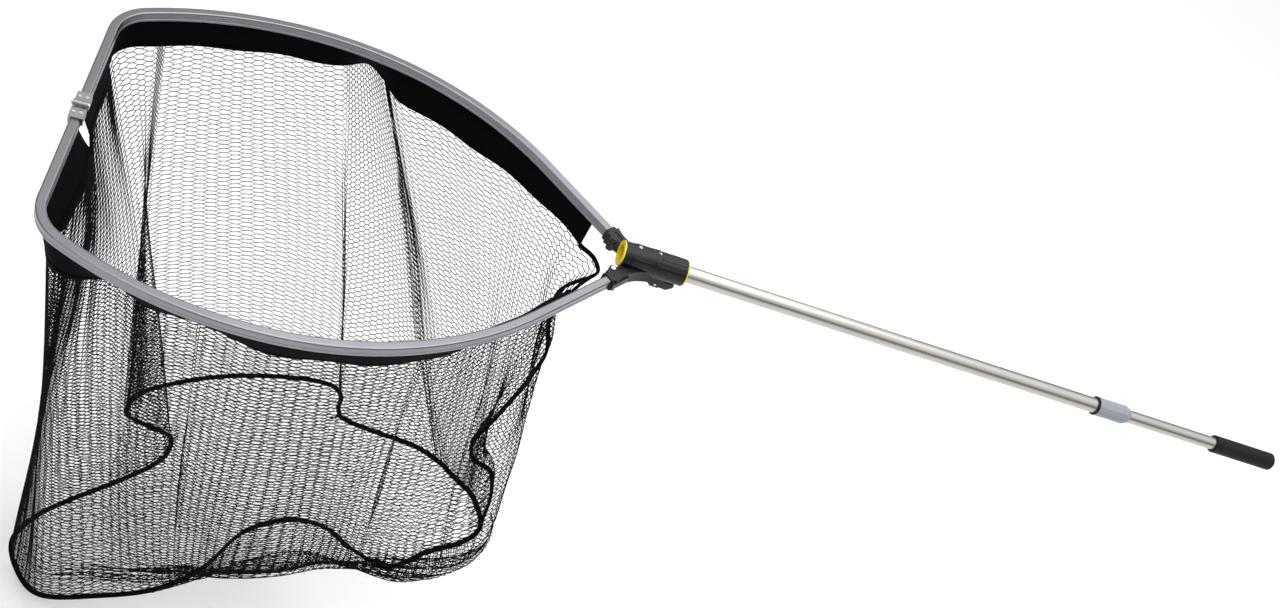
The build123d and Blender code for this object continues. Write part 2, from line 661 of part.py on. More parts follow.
for arm, side in SIDES.items():
    with BuildPart() as bag:
        add(bag_body(0))
        add(bag_body(BAG_T), mode=Mode.SUBTRACT)
        split(bisect_by=Plane.XZ.offset(-side * BAG_SPLIT), keep=Keep.BOTTOM if side > 0 else Keep.TOP)
    pieces[f"bag_{arm}"] = bag

for name, piece in pieces.items():
    piece.part.label = name
    export_step(piece.part, f"parts/{name}.step")
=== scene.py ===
"""Looks of the folding landing net: finishes, fabric bands, netting, tapes and the studio.

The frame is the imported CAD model. Sizes are in millimetres and meshes are made in metres, in the same frame:
the handle lies along X with its grip at the origin, +Y is the far arm's side and +Z is up.
The hoop lies in the fold plane, whose own x runs from the head's front rim towards the handle.
"""

import json
import logging
import math
from dataclasses import dataclass, field
from enum import Enum
from typing import Callable, Optional

import bpy
import numpy as np
from mathutils import Matrix, Vector


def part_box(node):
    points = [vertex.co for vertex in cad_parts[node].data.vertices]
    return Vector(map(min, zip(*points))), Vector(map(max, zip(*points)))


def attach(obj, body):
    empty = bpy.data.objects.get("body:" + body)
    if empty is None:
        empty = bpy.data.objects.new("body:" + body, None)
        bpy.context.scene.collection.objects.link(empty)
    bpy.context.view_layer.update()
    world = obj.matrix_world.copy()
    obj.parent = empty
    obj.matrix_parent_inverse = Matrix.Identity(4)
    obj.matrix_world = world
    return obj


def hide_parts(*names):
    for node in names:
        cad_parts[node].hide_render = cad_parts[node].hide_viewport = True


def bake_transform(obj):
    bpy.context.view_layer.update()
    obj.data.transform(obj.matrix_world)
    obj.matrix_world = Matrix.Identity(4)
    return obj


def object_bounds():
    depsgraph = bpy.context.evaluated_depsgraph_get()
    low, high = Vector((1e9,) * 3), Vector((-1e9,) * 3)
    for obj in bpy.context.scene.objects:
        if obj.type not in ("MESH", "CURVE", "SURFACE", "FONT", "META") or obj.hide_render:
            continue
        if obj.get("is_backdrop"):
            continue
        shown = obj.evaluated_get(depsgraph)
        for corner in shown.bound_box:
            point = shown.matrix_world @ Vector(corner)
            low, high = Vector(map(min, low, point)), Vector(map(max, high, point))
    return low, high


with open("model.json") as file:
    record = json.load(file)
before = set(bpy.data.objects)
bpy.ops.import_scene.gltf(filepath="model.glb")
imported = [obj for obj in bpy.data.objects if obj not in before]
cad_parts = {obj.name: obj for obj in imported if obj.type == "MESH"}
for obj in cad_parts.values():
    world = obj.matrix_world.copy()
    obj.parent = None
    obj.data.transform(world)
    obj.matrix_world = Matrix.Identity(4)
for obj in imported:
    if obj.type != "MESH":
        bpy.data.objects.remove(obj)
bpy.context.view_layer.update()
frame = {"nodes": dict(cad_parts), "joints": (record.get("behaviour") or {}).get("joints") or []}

MM = 0.001
log = logging.getLogger("landing_net")


class Side(Enum):
    """Arms of the net, with the sign of the half of the hoop that each one holds."""

    FAR = 1
    NEAR = -1

    @property
    def word(self) -> str:
        """The arm's name as the CAD nodes spell it."""
        return self.name.lower()


# ---------------------------------------------------------------- finishes


def linear(hex_colour: str) -> tuple[float, float, float, float]:
    """Turns an sRGB hex colour to linear.

    Args:
        hex_colour: The colour as "#RRGGBB".

    Returns:
        Red, green and blue as linear values, and an alpha of 1.
    """
    channels = [int(hex_colour[i : i + 2], 16) / 255 for i in (1, 3, 5)]
    made = [c / 12.92 if c <= 0.04045 else ((c + 0.055) / 1.055) ** 2.4 for c in channels]
    return (*made, 1.0)


def add_node(
    material: bpy.types.Material | bpy.types.World,
    kind: str,
    inputs: Optional[dict] = None,
    **settings: object,
) -> bpy.types.Node:
    """Adds a shader node with its settings and links.

    Args:
        material: The material or world whose tree takes the node.
        kind: The node's type name.
        inputs: A value, or another node's output socket, for each named or numbered input.
        **settings: The node's own properties.

    Returns:
        The new node.
    """
    node = material.node_tree.nodes.new(kind)
    for name, value in settings.items():
        setattr(node, name, value)
    for name, value in (inputs or {}).items():
        if isinstance(value, bpy.types.NodeSocket):
            material.node_tree.links.new(value, node.inputs[name])
        else:
            node.inputs[name].default_value = value
    return node


@dataclass(frozen=True)
class Finish:
    """A surface finish: one Principled shader, a second shade in soft patches, and a relief.

    Attributes:
        name: The real material and how it was made.
        colour: sRGB hex of the main shade.
        shade: sRGB hex of the second shade, which comes and goes over the patches.
        roughness: Roughness in the smooth patches, and rough_spread is added in the others.
        patch_mm: Width of the patches.
        grain_mm: Width of the finest relief.
        depth_mm: Height of the finest relief.
    """

    name: str
    colour: str
    shade: str
    roughness: float
    rough_spread: float = 0.08
    metallic: float = 0.0
    ior: float = 1.5
    specular: float = 0.5
    coat: float = 0.0
    sheen: float = 0.0
    patch_mm: float = 60.0
    grain_mm: float = 0.6
    depth_mm: float = 0.02
    coat_rough: float = 0.15
    sheen_rough: float = 0.45

    def place(self, material: bpy.types.Material) -> bpy.types.NodeSocket:
        """Coordinates of the pattern, in metres."""
        return add_node(material, "ShaderNodeTexCoord").outputs["Object"]

    def relief(self, material: bpy.types.Material, place: bpy.types.NodeSocket) -> bpy.types.NodeSocket:
        """Height of the surface, from 0 to 1: a fine even grain."""
        scale = 1 / (self.grain_mm * MM)
        return add_node(
            material, "ShaderNodeTexNoise", {"Vector": place, "Scale": scale, "Detail": 3.0}
        ).outputs["Fac"]

    def make(self) -> bpy.types.Material:
        """Builds the material, once for each finish.

        Returns:
            The material, the same one each time.
        """
        if self.name in bpy.data.materials:
            return bpy.data.materials[self.name]
        material = bpy.data.materials.new(self.name)
        material.use_nodes = True
        shader = material.node_tree.nodes["Principled BSDF"]
        for name, value in (
            ("Metallic", self.metallic),
            ("IOR", self.ior),
            ("Specular IOR Level", self.specular),
            ("Coat Weight", self.coat),
            ("Coat Roughness", self.coat_rough),
            ("Sheen Weight", self.sheen),
            ("Sheen Roughness", self.sheen_rough),
        ):
            shader.inputs[name].default_value = value
        place = self.place(material)
        patches = add_node(
            material,
            "ShaderNodeTexNoise",
            {"Vector": place, "Scale": 1 / (self.patch_mm * MM), "Detail": 4.0, "Roughness": 0.6},
        ).outputs["Fac"]
        shades = add_node(
            material,
            "ShaderNodeMix",
            {0: patches, 6: linear(self.colour), 7: linear(self.shade)},
            data_type="RGBA",
        )
        rough = add_node(
            material,
            "ShaderNodeMapRange",
            {"Value": patches, "To Min": self.roughness, "To Max": self.roughness + self.rough_spread},
        )
        bump = add_node(
            material,
            "ShaderNodeBump",
            {"Height": self.relief(material, place), "Distance": self.depth_mm * MM, "Strength": 1.0},
        )
        for name, socket in (
            ("Base Color", shades.outputs[2]),
            ("Roughness", rough.outputs[0]),
            ("Normal", bump.outputs[0]),
        ):
            material.node_tree.links.new(socket, shader.inputs[name])
        return material


@dataclass(frozen=True)
class DrawnTube(Finish):
    """Metal drawn along X: the relief is long thin lines."""

    line_mm: float = 80.0

    def relief(self, material: bpy.types.Material, place: bpy.types.NodeSocket) -> bpy.types.NodeSocket:
        """Fine lines along the tube, as the die leaves them."""
        along, across = 1 / (self.line_mm * MM), 1 / (self.grain_mm * MM)
        stretched = add_node(
            material, "ShaderNodeMapping", {"Vector": place, "Scale": (along, across, across)}
        ).outputs[0]
        return add_node(
            material, "ShaderNodeTexNoise", {"Vector": stretched, "Scale": 1.0, "Detail": 2.0}
        ).outputs["Fac"]


@dataclass(frozen=True)
class PebbledRubber(Finish):
    """Rubber from a textured mould: the relief is small round pebbles."""

    def relief(self, material: bpy.types.Material, place: bpy.types.NodeSocket) -> bpy.types.NodeSocket:
        """Round pebbles a grain apart."""
        return add_node(
            material, "ShaderNodeTexVoronoi", {"Vector": place, "Scale": 1 / (self.grain_mm * MM)}
        ).outputs["Distance"]


@dataclass(frozen=True)
class WovenCloth(Finish):
    """Plain weave, laid out along the piece's own UV map, which is in metres."""

    def place(self, material: bpy.types.Material) -> bpy.types.NodeSocket:
        """The piece's flat coordinates, so that the weave follows every bend."""
        return add_node(material, "ShaderNodeTexCoord").outputs["UV"]

    def relief(self, material: bpy.types.Material, place: bpy.types.NodeSocket) -> bpy.types.NodeSocket:
        """Over and under of two sets of threads."""
        turns = 1 / (self.grain_mm * MM) / 2
        sets = [
            add_node(
                material,
                "ShaderNodeTexWave",
                {"Vector": place, "Scale": turns / math.pi, "Distortion": 0.0},
                bands_direction=direction,
            ).outputs["Fac"]
            for direction in ("X", "Y")
        ]
        return add_node(material, "ShaderNodeMath", {0: sets[0], 1: sets[1]}, operation="MULTIPLY").outputs[0]


# Drawn tube, bead blasted and clear anodised: a warm light grey with a soft wide highlight.
ANODISED_TUBE = DrawnTube(
    "anodised aluminium, drawn tube", "#C6C3BF", "#B9B6B2", 0.27, 0.06,
    metallic=1.0, patch_mm=90, grain_mm=0.7, depth_mm=0.004,
)
# Grooved extrusion, satin anodised: a darker, cooler grey that goes bright only along its top.
ANODISED_RAIL = Finish(
    "anodised aluminium, extruded rail", "#8E8E93", "#808085", 0.24, 0.08,
    metallic=1.0, patch_mm=70, grain_mm=0.5, depth_mm=0.004,
)
# Compression-moulded rubber: near black and matt, with the mould's pebbles.
# They are drawn twice as coarse, to show.
GRIP_RUBBER = PebbledRubber(
    "moulded rubber, pebbled", "#0C0C0D", "#131314", 0.6, 0.12,
    specular=0.3, patch_mm=18, grain_mm=1.3, depth_mm=0.12,
)
# Glass-filled nylon from a spark-eroded mould: satin black with a faint orange-peel. Drawn coarse, to show.
HEAD_NYLON = Finish(
    "glass-filled nylon, moulded", "#08090B", "#0E0F12", 0.36, 0.10,
    specular=0.35, coat=0.05, patch_mm=14, grain_mm=0.9, depth_mm=0.03,
)
# Unfilled nylon: smooth black plugs and bushes.
PLUG_NYLON = Finish(
    "nylon, moulded smooth", "#0A0A0B", "#0F0F10", 0.42, 0.08,
    specular=0.35, patch_mm=10, grain_mm=0.6, depth_mm=0.01,
)
# Acetal: clear bright yellow that stays glossy where it slides.
ACETAL = Finish(
    "acetal, moulded yellow", "#F4D80F", "#E9C800", 0.30, 0.08,
    ior=1.48, patch_mm=12, grain_mm=0.8, depth_mm=0.01,
)
# ABS: light blue-grey with a satin mould finish.
COLLAR_ABS = Finish(
    "ABS, moulded grey", "#9AA0A7", "#8E949C", 0.36, 0.08, patch_mm=15, grain_mm=0.7, depth_mm=0.015
)
# Stainless steel, turned: bright small heads and pins.
TURNED_STEEL = Finish(
    "stainless steel, turned", "#D9D9DA", "#C6C6C8", 0.18, 0.10,
    metallic=1.0, patch_mm=4, grain_mm=0.4, depth_mm=0.006,
)
# The same turned steel, coloured black as painted shade for the dark recess round the far clamp screw, with a
# dull shine.
RECESS_SHADE_STEEL = Finish(
    "steel, turned and blackened", "#141415", "#1C1C1D", 0.38, 0.10,
    specular=0.4, patch_mm=4, grain_mm=0.4, depth_mm=0.006,
)
# Zinc, die-cast and tumbled: a soft grey skin with slight dimples.
CAST_ZINC = Finish(
    "zinc alloy, die-cast", "#A9A8A7", "#8F8E8D", 0.30, 0.16,
    metallic=1.0, patch_mm=7, grain_mm=1.6, depth_mm=0.05,
)
# Polyester, woven: flat black with a little sheen. The threads are drawn twice as wide, to show.
BAND_POLYESTER = WovenCloth(
    "polyester, woven black", "#030303", "#080808", 0.86, 0.1,
    specular=0.06, sheen=0.01, patch_mm=40, grain_mm=1.2, depth_mm=0.12,
)
# Polyester tape, woven narrow and folded over the seam: ribbed and blacker than the band.
BOUND_TAPE = WovenCloth(
    "polyester tape, woven and bound", "#020202", "#060606", 0.86, 0.1,
    specular=0.06, sheen=0.01, patch_mm=20, grain_mm=1.0, depth_mm=0.15,
)
# Sewing thread, bonded polyester: a shade lighter than the cloth as painted sheen, because it shines.
THREAD = Finish(
    "polyester thread, bonded", "#1B1B1C", "#141415", 0.5, 0.1,
    specular=0.2, patch_mm=9, grain_mm=0.4, depth_mm=0.03,
)
# Netting, knitted nylon dipped in rubber: black with a faint warm cast, dull where the dip is thin.
NET_NYLON = Finish(
    "nylon netting, knitted and dipped", "#060406", "#0C090C", 0.7, 0.15,
    specular=0.1, patch_mm=25, grain_mm=0.8, depth_mm=0.05,
)


# ---------------------------------------------------------------- meshes


def smoothstep(t: np.ndarray) -> np.ndarray:
    """Eases from 0 to 1, flat at both ends."""
    t = np.clip(t, 0.0, 1.0)
    return t * t * (3 - 2 * t)


def zigzag(phase: np.ndarray) -> np.ndarray:
    """A wave from -1 to 1 with straight flanks and rounded tips, as folded cloth makes."""
    return np.arcsin(0.98 * np.sin(phase)) / math.asin(0.98)


def layers(phase: np.ndarray) -> np.ndarray:
    """How far each layer of a fold stands off, from its first edge to its last."""
    return np.sin(phase) + 0.6 * np.sin(2 * phase)


def unit(vectors: np.ndarray) -> np.ndarray:
    """Vectors of length 1."""
    return vectors / np.maximum(np.linalg.norm(vectors, axis=-1, keepdims=True), 1e-9)


def new_piece(
    name: str,
    points: np.ndarray,
    faces: list,
    finish: Finish,
    uv: Optional[np.ndarray] = None,
) -> bpy.types.Object:
    """Makes a smooth-shaded mesh object.

    Args:
        name: The piece's name.
        points: Vertices in millimetres.
        faces: Vertex numbers of each face.
        finish: Its finish.
        uv: Flat coordinates of each vertex in millimetres.

    Returns:
        The object, in the scene and at the origin.
    """
    mesh = bpy.data.meshes.new(name)
    mesh.from_pydata((np.asarray(points) * MM).tolist(), [], faces)
    mesh.polygons.foreach_set("use_smooth", [True] * len(mesh.polygons))
    if uv is not None:
        layer = mesh.uv_layers.new(name="flat")
        corners = np.empty(len(mesh.loops), np.int32)
        mesh.loops.foreach_get("vertex_index", corners)
        layer.data.foreach_set("uv", (uv[corners] * MM).astype(np.float32).ravel())
    mesh.materials.append(finish.make())
    mesh.update()
    piece = bpy.data.objects.new(name, mesh)
    bpy.context.scene.collection.objects.link(piece)
    return piece


def grid_faces(rows: int, columns: int, closed: bool = False) -> list:
    """Quads of a grid whose vertices run along each row in turn.

    Args:
        rows: Number of rows of vertices.
        columns: Number of vertices in a row.
        closed: Joins each row's last vertex to its first.

    Returns:
        A list of four vertex numbers for each quad.
    """
    span = columns if closed else columns - 1
    return [
        tuple(line * columns + c % columns for line, c in ((r, c), (r, c + 1), (r + 1, c + 1), (r + 1, c)))
        for r in range(rows - 1)
        for c in range(span)
    ]


def swept(
    name: str,
    line: np.ndarray,
    across: np.ndarray,
    wide: float,
    thick: float,
    finish: Finish,
    sides: int = 8,
    closed: bool = False,
) -> bpy.types.Object:
    """Sweeps a rounded flat section along a line, as a tape, cord or raised rib.

    Args:
        name: The piece's name.
        line: Points in millimetres.
        across: At each point, the direction of the section's wide way.
        wide: Width in millimetres.
        thick: Thickness in millimetres.
        finish: Its finish.
        sides: Corners of the section.
        closed: Joins the end to the start.

    Returns:
        The object, with a UV map that runs along and round it.
    """
    ahead = np.roll(line, -1, 0) - np.roll(line, 1, 0)
    if not closed:
        ahead[0], ahead[-1] = line[1] - line[0], line[-1] - line[-2]
    ahead = unit(ahead)
    out = unit(np.cross(ahead, across))
    wide_way = unit(np.cross(out, ahead))
    turn = np.linspace(0, 2 * math.pi, sides, endpoint=False)
    blunt = 0.7
    sideways = np.sign(np.cos(turn)) * np.abs(np.cos(turn)) ** blunt
    shape = np.stack([sideways * wide / 2, np.sin(turn) * thick / 2], 1)
    points = line[:, None] + wide_way[:, None] * shape[None, :, :1] + out[:, None] * shape[None, :, 1:]
    along = np.concatenate([[0], np.cumsum(np.linalg.norm(np.diff(line, axis=0), axis=1))])
    uv = np.stack(np.broadcast_arrays(along[:, None], (turn * wide / math.pi)[None, :]), -1)
    faces = grid_faces(len(line), sides, closed=True)
    if closed:
        last = (len(line) - 1) * sides
        faces += [(last + c, last + (c + 1) % sides, (c + 1) % sides, c) for c in range(sides)]
    else:
        faces += [tuple(range(sides))[::-1], tuple(range((len(line) - 1) * sides, len(line) * sides))]
    return new_piece(name, points.reshape(-1, 3), faces, finish, uv.reshape(-1, 2))


def eased(
    start: np.ndarray, end: np.ndarray, leaving: np.ndarray, arriving: np.ndarray, t: np.ndarray
) -> np.ndarray:
    """Cubic from start to end with the slopes given, at t from 0 to 1."""
    return (
        start * (2 * t**3 - 3 * t**2 + 1)
        + leaving * (t**3 - 2 * t**2 + t)
        + end * (3 * t**2 - 2 * t**3)
        + arriving * (t**3 - t**2)
    )


def thicken(piece: bpy.types.Object, name: str, thick: float) -> None:
    """Gives a cloth piece its thickness, in millimetres, half on each face."""
    wall = piece.modifiers.new(name, "SOLIDIFY")
    wall.thickness = thick * MM
    wall.offset = 0


def spline(points: np.ndarray, at: np.ndarray, knots: np.ndarray, period: float) -> np.ndarray:
    """Smooth closed curve through points.

    Args:
        points: The points, in order round the curve.
        at: Stations to read the curve at.
        knots: The station of each point, rising.
        period: The station at which the curve closes.

    Returns:
        One point for each station asked for.
    """
    count = len(points)
    wrapped = np.concatenate([points[-2:], points, points[:3]])
    stations = np.concatenate([knots[-2:] - period, knots, knots[:3] + period])
    slopes = np.zeros_like(wrapped)
    slopes[1:-1] = (wrapped[2:] - wrapped[:-2]) / (stations[2:] - stations[:-2])[:, None]
    at = (np.asarray(at) - knots[0]) % period + knots[0]
    i = np.clip(np.searchsorted(stations, at, side="right") - 1, 1, count + 2)
    gap = (stations[i + 1] - stations[i])[:, None]
    t = (at - stations[i])[:, None] / gap
    return eased(wrapped[i], wrapped[i + 1], slopes[i] * gap, slopes[i + 1] * gap, t)


# ---------------------------------------------------------------- hoop and bands


@dataclass
class Hoop:
    """The hoop's line in the fold plane, from the front hinge round to each socket.

    Attributes:
        hinge_x: The front hinge's place along the fold axis.
        drop: How far the rails' middle hangs below the fold axis.
        rail_h: Height of a rail.
        bar: Length of the straight front bar on each side.
        bends: Radius and turn in degrees of each arc after the bar.
        tail: Length of the straight end.
    """

    hinge_x: float = -843.0
    drop: float = 15.0
    rail_h: float = 19.0
    bar: float = 190.0
    bends: tuple = ((71.0, 61.0), (600.0, 29.0), (545.0, 45.0))
    tail: float = 190.0
    origin: np.ndarray = field(init=False)
    axis: np.ndarray = field(init=False)
    up: np.ndarray = field(init=False)

    def __post_init__(self) -> None:
        """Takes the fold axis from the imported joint."""
        joint = next(j for j in frame["joints"] if j["name"] == "far_fold")
        self.origin = np.array(joint["pos_m"]) / MM
        self.axis = unit(np.array(joint["axis"]))
        self.up = np.cross(self.axis, (0.0, 1.0, 0.0))

    def world(self, x: np.ndarray, y: np.ndarray, z: np.ndarray) -> np.ndarray:
        """Points of the row frame from places along, across and above the fold axis."""
        x, y, z = np.broadcast_arrays(x, y, z)
        across = np.array((0.0, 1.0, 0.0))
        return self.origin + x[..., None] * self.axis + y[..., None] * across + z[..., None] * self.up

    def line(self, station: np.ndarray) -> tuple[np.ndarray, np.ndarray, np.ndarray]:
        """Follows the far half of the hoop.

        Args:
            station: Distances from the hinge along the rail's middle.

        Returns:
            x, y and the heading in radians, where a heading of a quarter turn is along +Y.
        """
        station = np.asarray(station, float)
        heading = math.pi / 2
        x0, y0 = self.hinge_x, self.bar
        x, y, h = np.full_like(station, x0), station.copy(), np.full_like(station, heading)
        start = self.bar
        for radius, degrees in self.bends:
            turn = math.radians(degrees)
            past = np.clip((station - start) / radius, 0, turn)
            centre_x, centre_y = x0 + radius * math.sin(heading), y0 - radius * math.cos(heading)
            on = station > start
            x = np.where(on, centre_x - radius * np.sin(heading - past), x)
            y = np.where(on, centre_y + radius * np.cos(heading - past), y)
            h = np.where(on, heading - past, h)
            heading -= turn
            x0, y0 = centre_x - radius * math.sin(heading), centre_y + radius * math.cos(heading)
            start += radius * turn
        run = np.maximum(station - start, 0)
        return x + run * math.cos(heading), y + run * math.sin(heading), h

    @property
    def length(self) -> float:
        """Length of one rail's middle line."""
        return self.bar + sum(r * math.radians(t) for r, t in self.bends) + self.tail


@dataclass
class Band:
    """Fabric band that hangs from one rail and carries the netting.

    Attributes:
        side: The arm that it rides on.
        height: How far it hangs below the rail.
        lean: Station along the rail and inward lean in degrees, as a short list.
        start: Station where it begins, near the front hinge.
        tail_gap: Length of rail left bare at the head.
        thick: Thickness of the cloth.
        flutter: How far the lower edge waves, and wave_long and wave_short set the length of its waves.
        stitch: Length of a stitch, and stitch_gap is the distance from one to the next.
        hem: Height of the hem.
        tuck: How far the cloth goes up into the rail.
    """

    hoop: Hoop
    side: Side
    lean: tuple
    height: float = 55.0
    start: float = 17.5
    tail_gap: float = 62.0
    thick: float = 1.3
    flutter: float = 3.5
    wave_long: float = 47.0
    wave_short: float = 23.0
    stitch: float = 3.4
    stitch_gap: float = 5.0
    hem: float = 9.0
    tuck: float = 1.5

    @property
    def end(self) -> float:
        """Station of the band's end near the head."""
        return self.hoop.length - self.tail_gap

    def point(self, station: np.ndarray, drop: np.ndarray, proud: float = 0.0) -> np.ndarray:
        """Points on the band.

        Args:
            station: Distances along the rail from the hinge.
            drop: Distances down the band from the rail's underside.
            proud: How far off the band's middle, outwards.

        Returns:
            Points in the row frame.
        """
        station, drop = np.broadcast_arrays(np.asarray(station, float), np.asarray(drop, float))
        x, y, heading = self.hoop.line(station)
        knots, lean = np.array(self.lean, float).T
        lean = np.radians(smooth_through(knots, lean)(station))
        share = np.clip(drop / self.height, 0, 1)
        wave = np.sin(station / self.wave_long + self.side.value)
        wave = wave + 0.7 * np.sin(station / self.wave_short + 2 * self.side.value)
        inward = drop * np.sin(lean) * (0.6 + 0.4 * share) + self.flutter * wave * share**1.5 - proud
        below = drop * np.cos(lean * 0.9)
        x = x + inward * np.sin(heading)
        y = y - inward * np.cos(heading)
        return self.hoop.world(x, self.side.value * y, -self.hoop.drop - self.hoop.rail_h / 2 - below)

    def build(self) -> list[bpy.types.Object]:
        """Makes the band, its hem and its stitches.

        Returns:
            The pieces, riding on the arm.
        """
        word = self.side.word
        step, proud = 6.0, 0.8
        station = np.arange(self.start, self.end, step)

        def strip(name: str, down: np.ndarray, finish: Finish) -> bpy.types.Object:
            """One strip of cloth, between the drops given."""
            s, d = np.meshgrid(station, down, indexing="ij")
            flat = np.stack([s, d], -1).reshape(-1, 2)
            return new_piece(name, self.point(s, d).reshape(-1, 3), grid_faces(*s.shape), finish, flat)

        band = strip(f"band_{word}_cloth", np.linspace(-self.tuck, self.height, 11), BAND_POLYESTER)
        thicken(band, "cloth thickness", self.thick)
        hem = strip(
            f"band_{word}_hem", np.linspace(self.height - self.hem, self.height + proud, 4), BOUND_TAPE
        )
        thicken(hem, "folded hem", 2.2 * self.thick)
        stitches = self.stitches(word)
        for piece in (band, hem, stitches):
            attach(piece, f"{word}_arm")
        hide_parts(f"{word}_band")
        return [band, hem, stitches]

    def stitches(self, word: str) -> bpy.types.Object:
        """Two rows of stitches, on both faces of the band.

        Args:
            word: The arm's name.

        Returns:
            One mesh with every stitch.
        """
        points, faces = [], []
        sides = 4
        ring = np.linspace(0, 2 * math.pi, sides, endpoint=False)
        round_x, round_y = np.cos(ring)[None, :, None], np.sin(ring)[None, :, None]
        share = np.array([-0.5, -0.3, 0.3, 0.5])
        size = np.array([0.15, 0.42, 0.42, 0.15])[:, None, None]
        for drop in (2.5, self.height - self.hem + 1.5):
            for face in (1, -1):
                for middle in np.arange(self.start + 4, self.end - 4, self.stitch_gap):
                    place = middle + share * self.stitch
                    line = self.point(place, np.full(len(share), drop), face * self.thick * 0.75)
                    ahead = unit(line[-1:] - line[:1])
                    side = unit(np.cross(ahead, self.hoop.up))
                    lift = np.cross(side, ahead)
                    loop = side[:, None] * round_x + lift[:, None] * round_y
                    base = len(points) * len(share) * sides
                    points.append((line[:, None] + size * loop).reshape(-1, 3))
                    ends = [(3, 2, 1, 0), (12, 13, 14, 15)]
                    quads = grid_faces(len(share), sides, closed=True) + ends
                    faces += [tuple(base + v for v in quad) for quad in quads]
        return new_piece(f"band_{word}_stitches", np.concatenate(points), faces, THREAD)


# ---------------------------------------------------------------- bag


@dataclass(frozen=True)
class Pleat:
    """A fold in the netting's wall, where three layers lie on each other.

    Attributes:
        station: Where it starts on the rim, positive on the far side.
        spare: Width of netting taken up in it.
        reach: How far the folded layer reaches each way, where it is widest.
        top, widest, bottom: Shares of the way down where it opens, is widest and closes.
        apart: Distance between the layers.
    """

    station: float
    spare: float
    reach: float
    top: float
    widest: float
    bottom: float
    apart: float = 7.0

    def opening(self, share: np.ndarray) -> np.ndarray:
        """How open the pleat is, from 0 to 1, at shares of the way down."""
        rise = smoothstep((share - self.top) / (self.widest - self.top))
        fall = smoothstep((self.bottom - share) / (self.bottom - self.widest))
        return np.minimum(rise, fall)


@dataclass(frozen=True)
class Sag:
    """A fold that runs round the wall, where the netting's weight has let it down over itself.

    Attributes:
        station: Middle of the fold round the rim.
        wide: How far it runs each way.
        share: How far down it starts, as a share of the wall.
        reach: How far the folded layer reaches each way, as a share of the wall.
        spare: Height of netting taken up in it.
        apart: Distance between the layers.
    """

    station: float
    wide: float
    share: float
    reach: float
    spare: float
    apart: float = 7.0


@dataclass(frozen=True)
class Dent:
    """A soft bump in the netting's wall, where it is pushed by its own weight and folds.

    Attributes:
        station: Where it is round the rim.
        share: How far down it is.
        wide: Its width round the rim.
        tall: Its height as a share of the wall.
        push: How far it moves the wall along X, Y and Z.
    """

    station: float
    share: float
    wide: float
    tall: float
    push: tuple


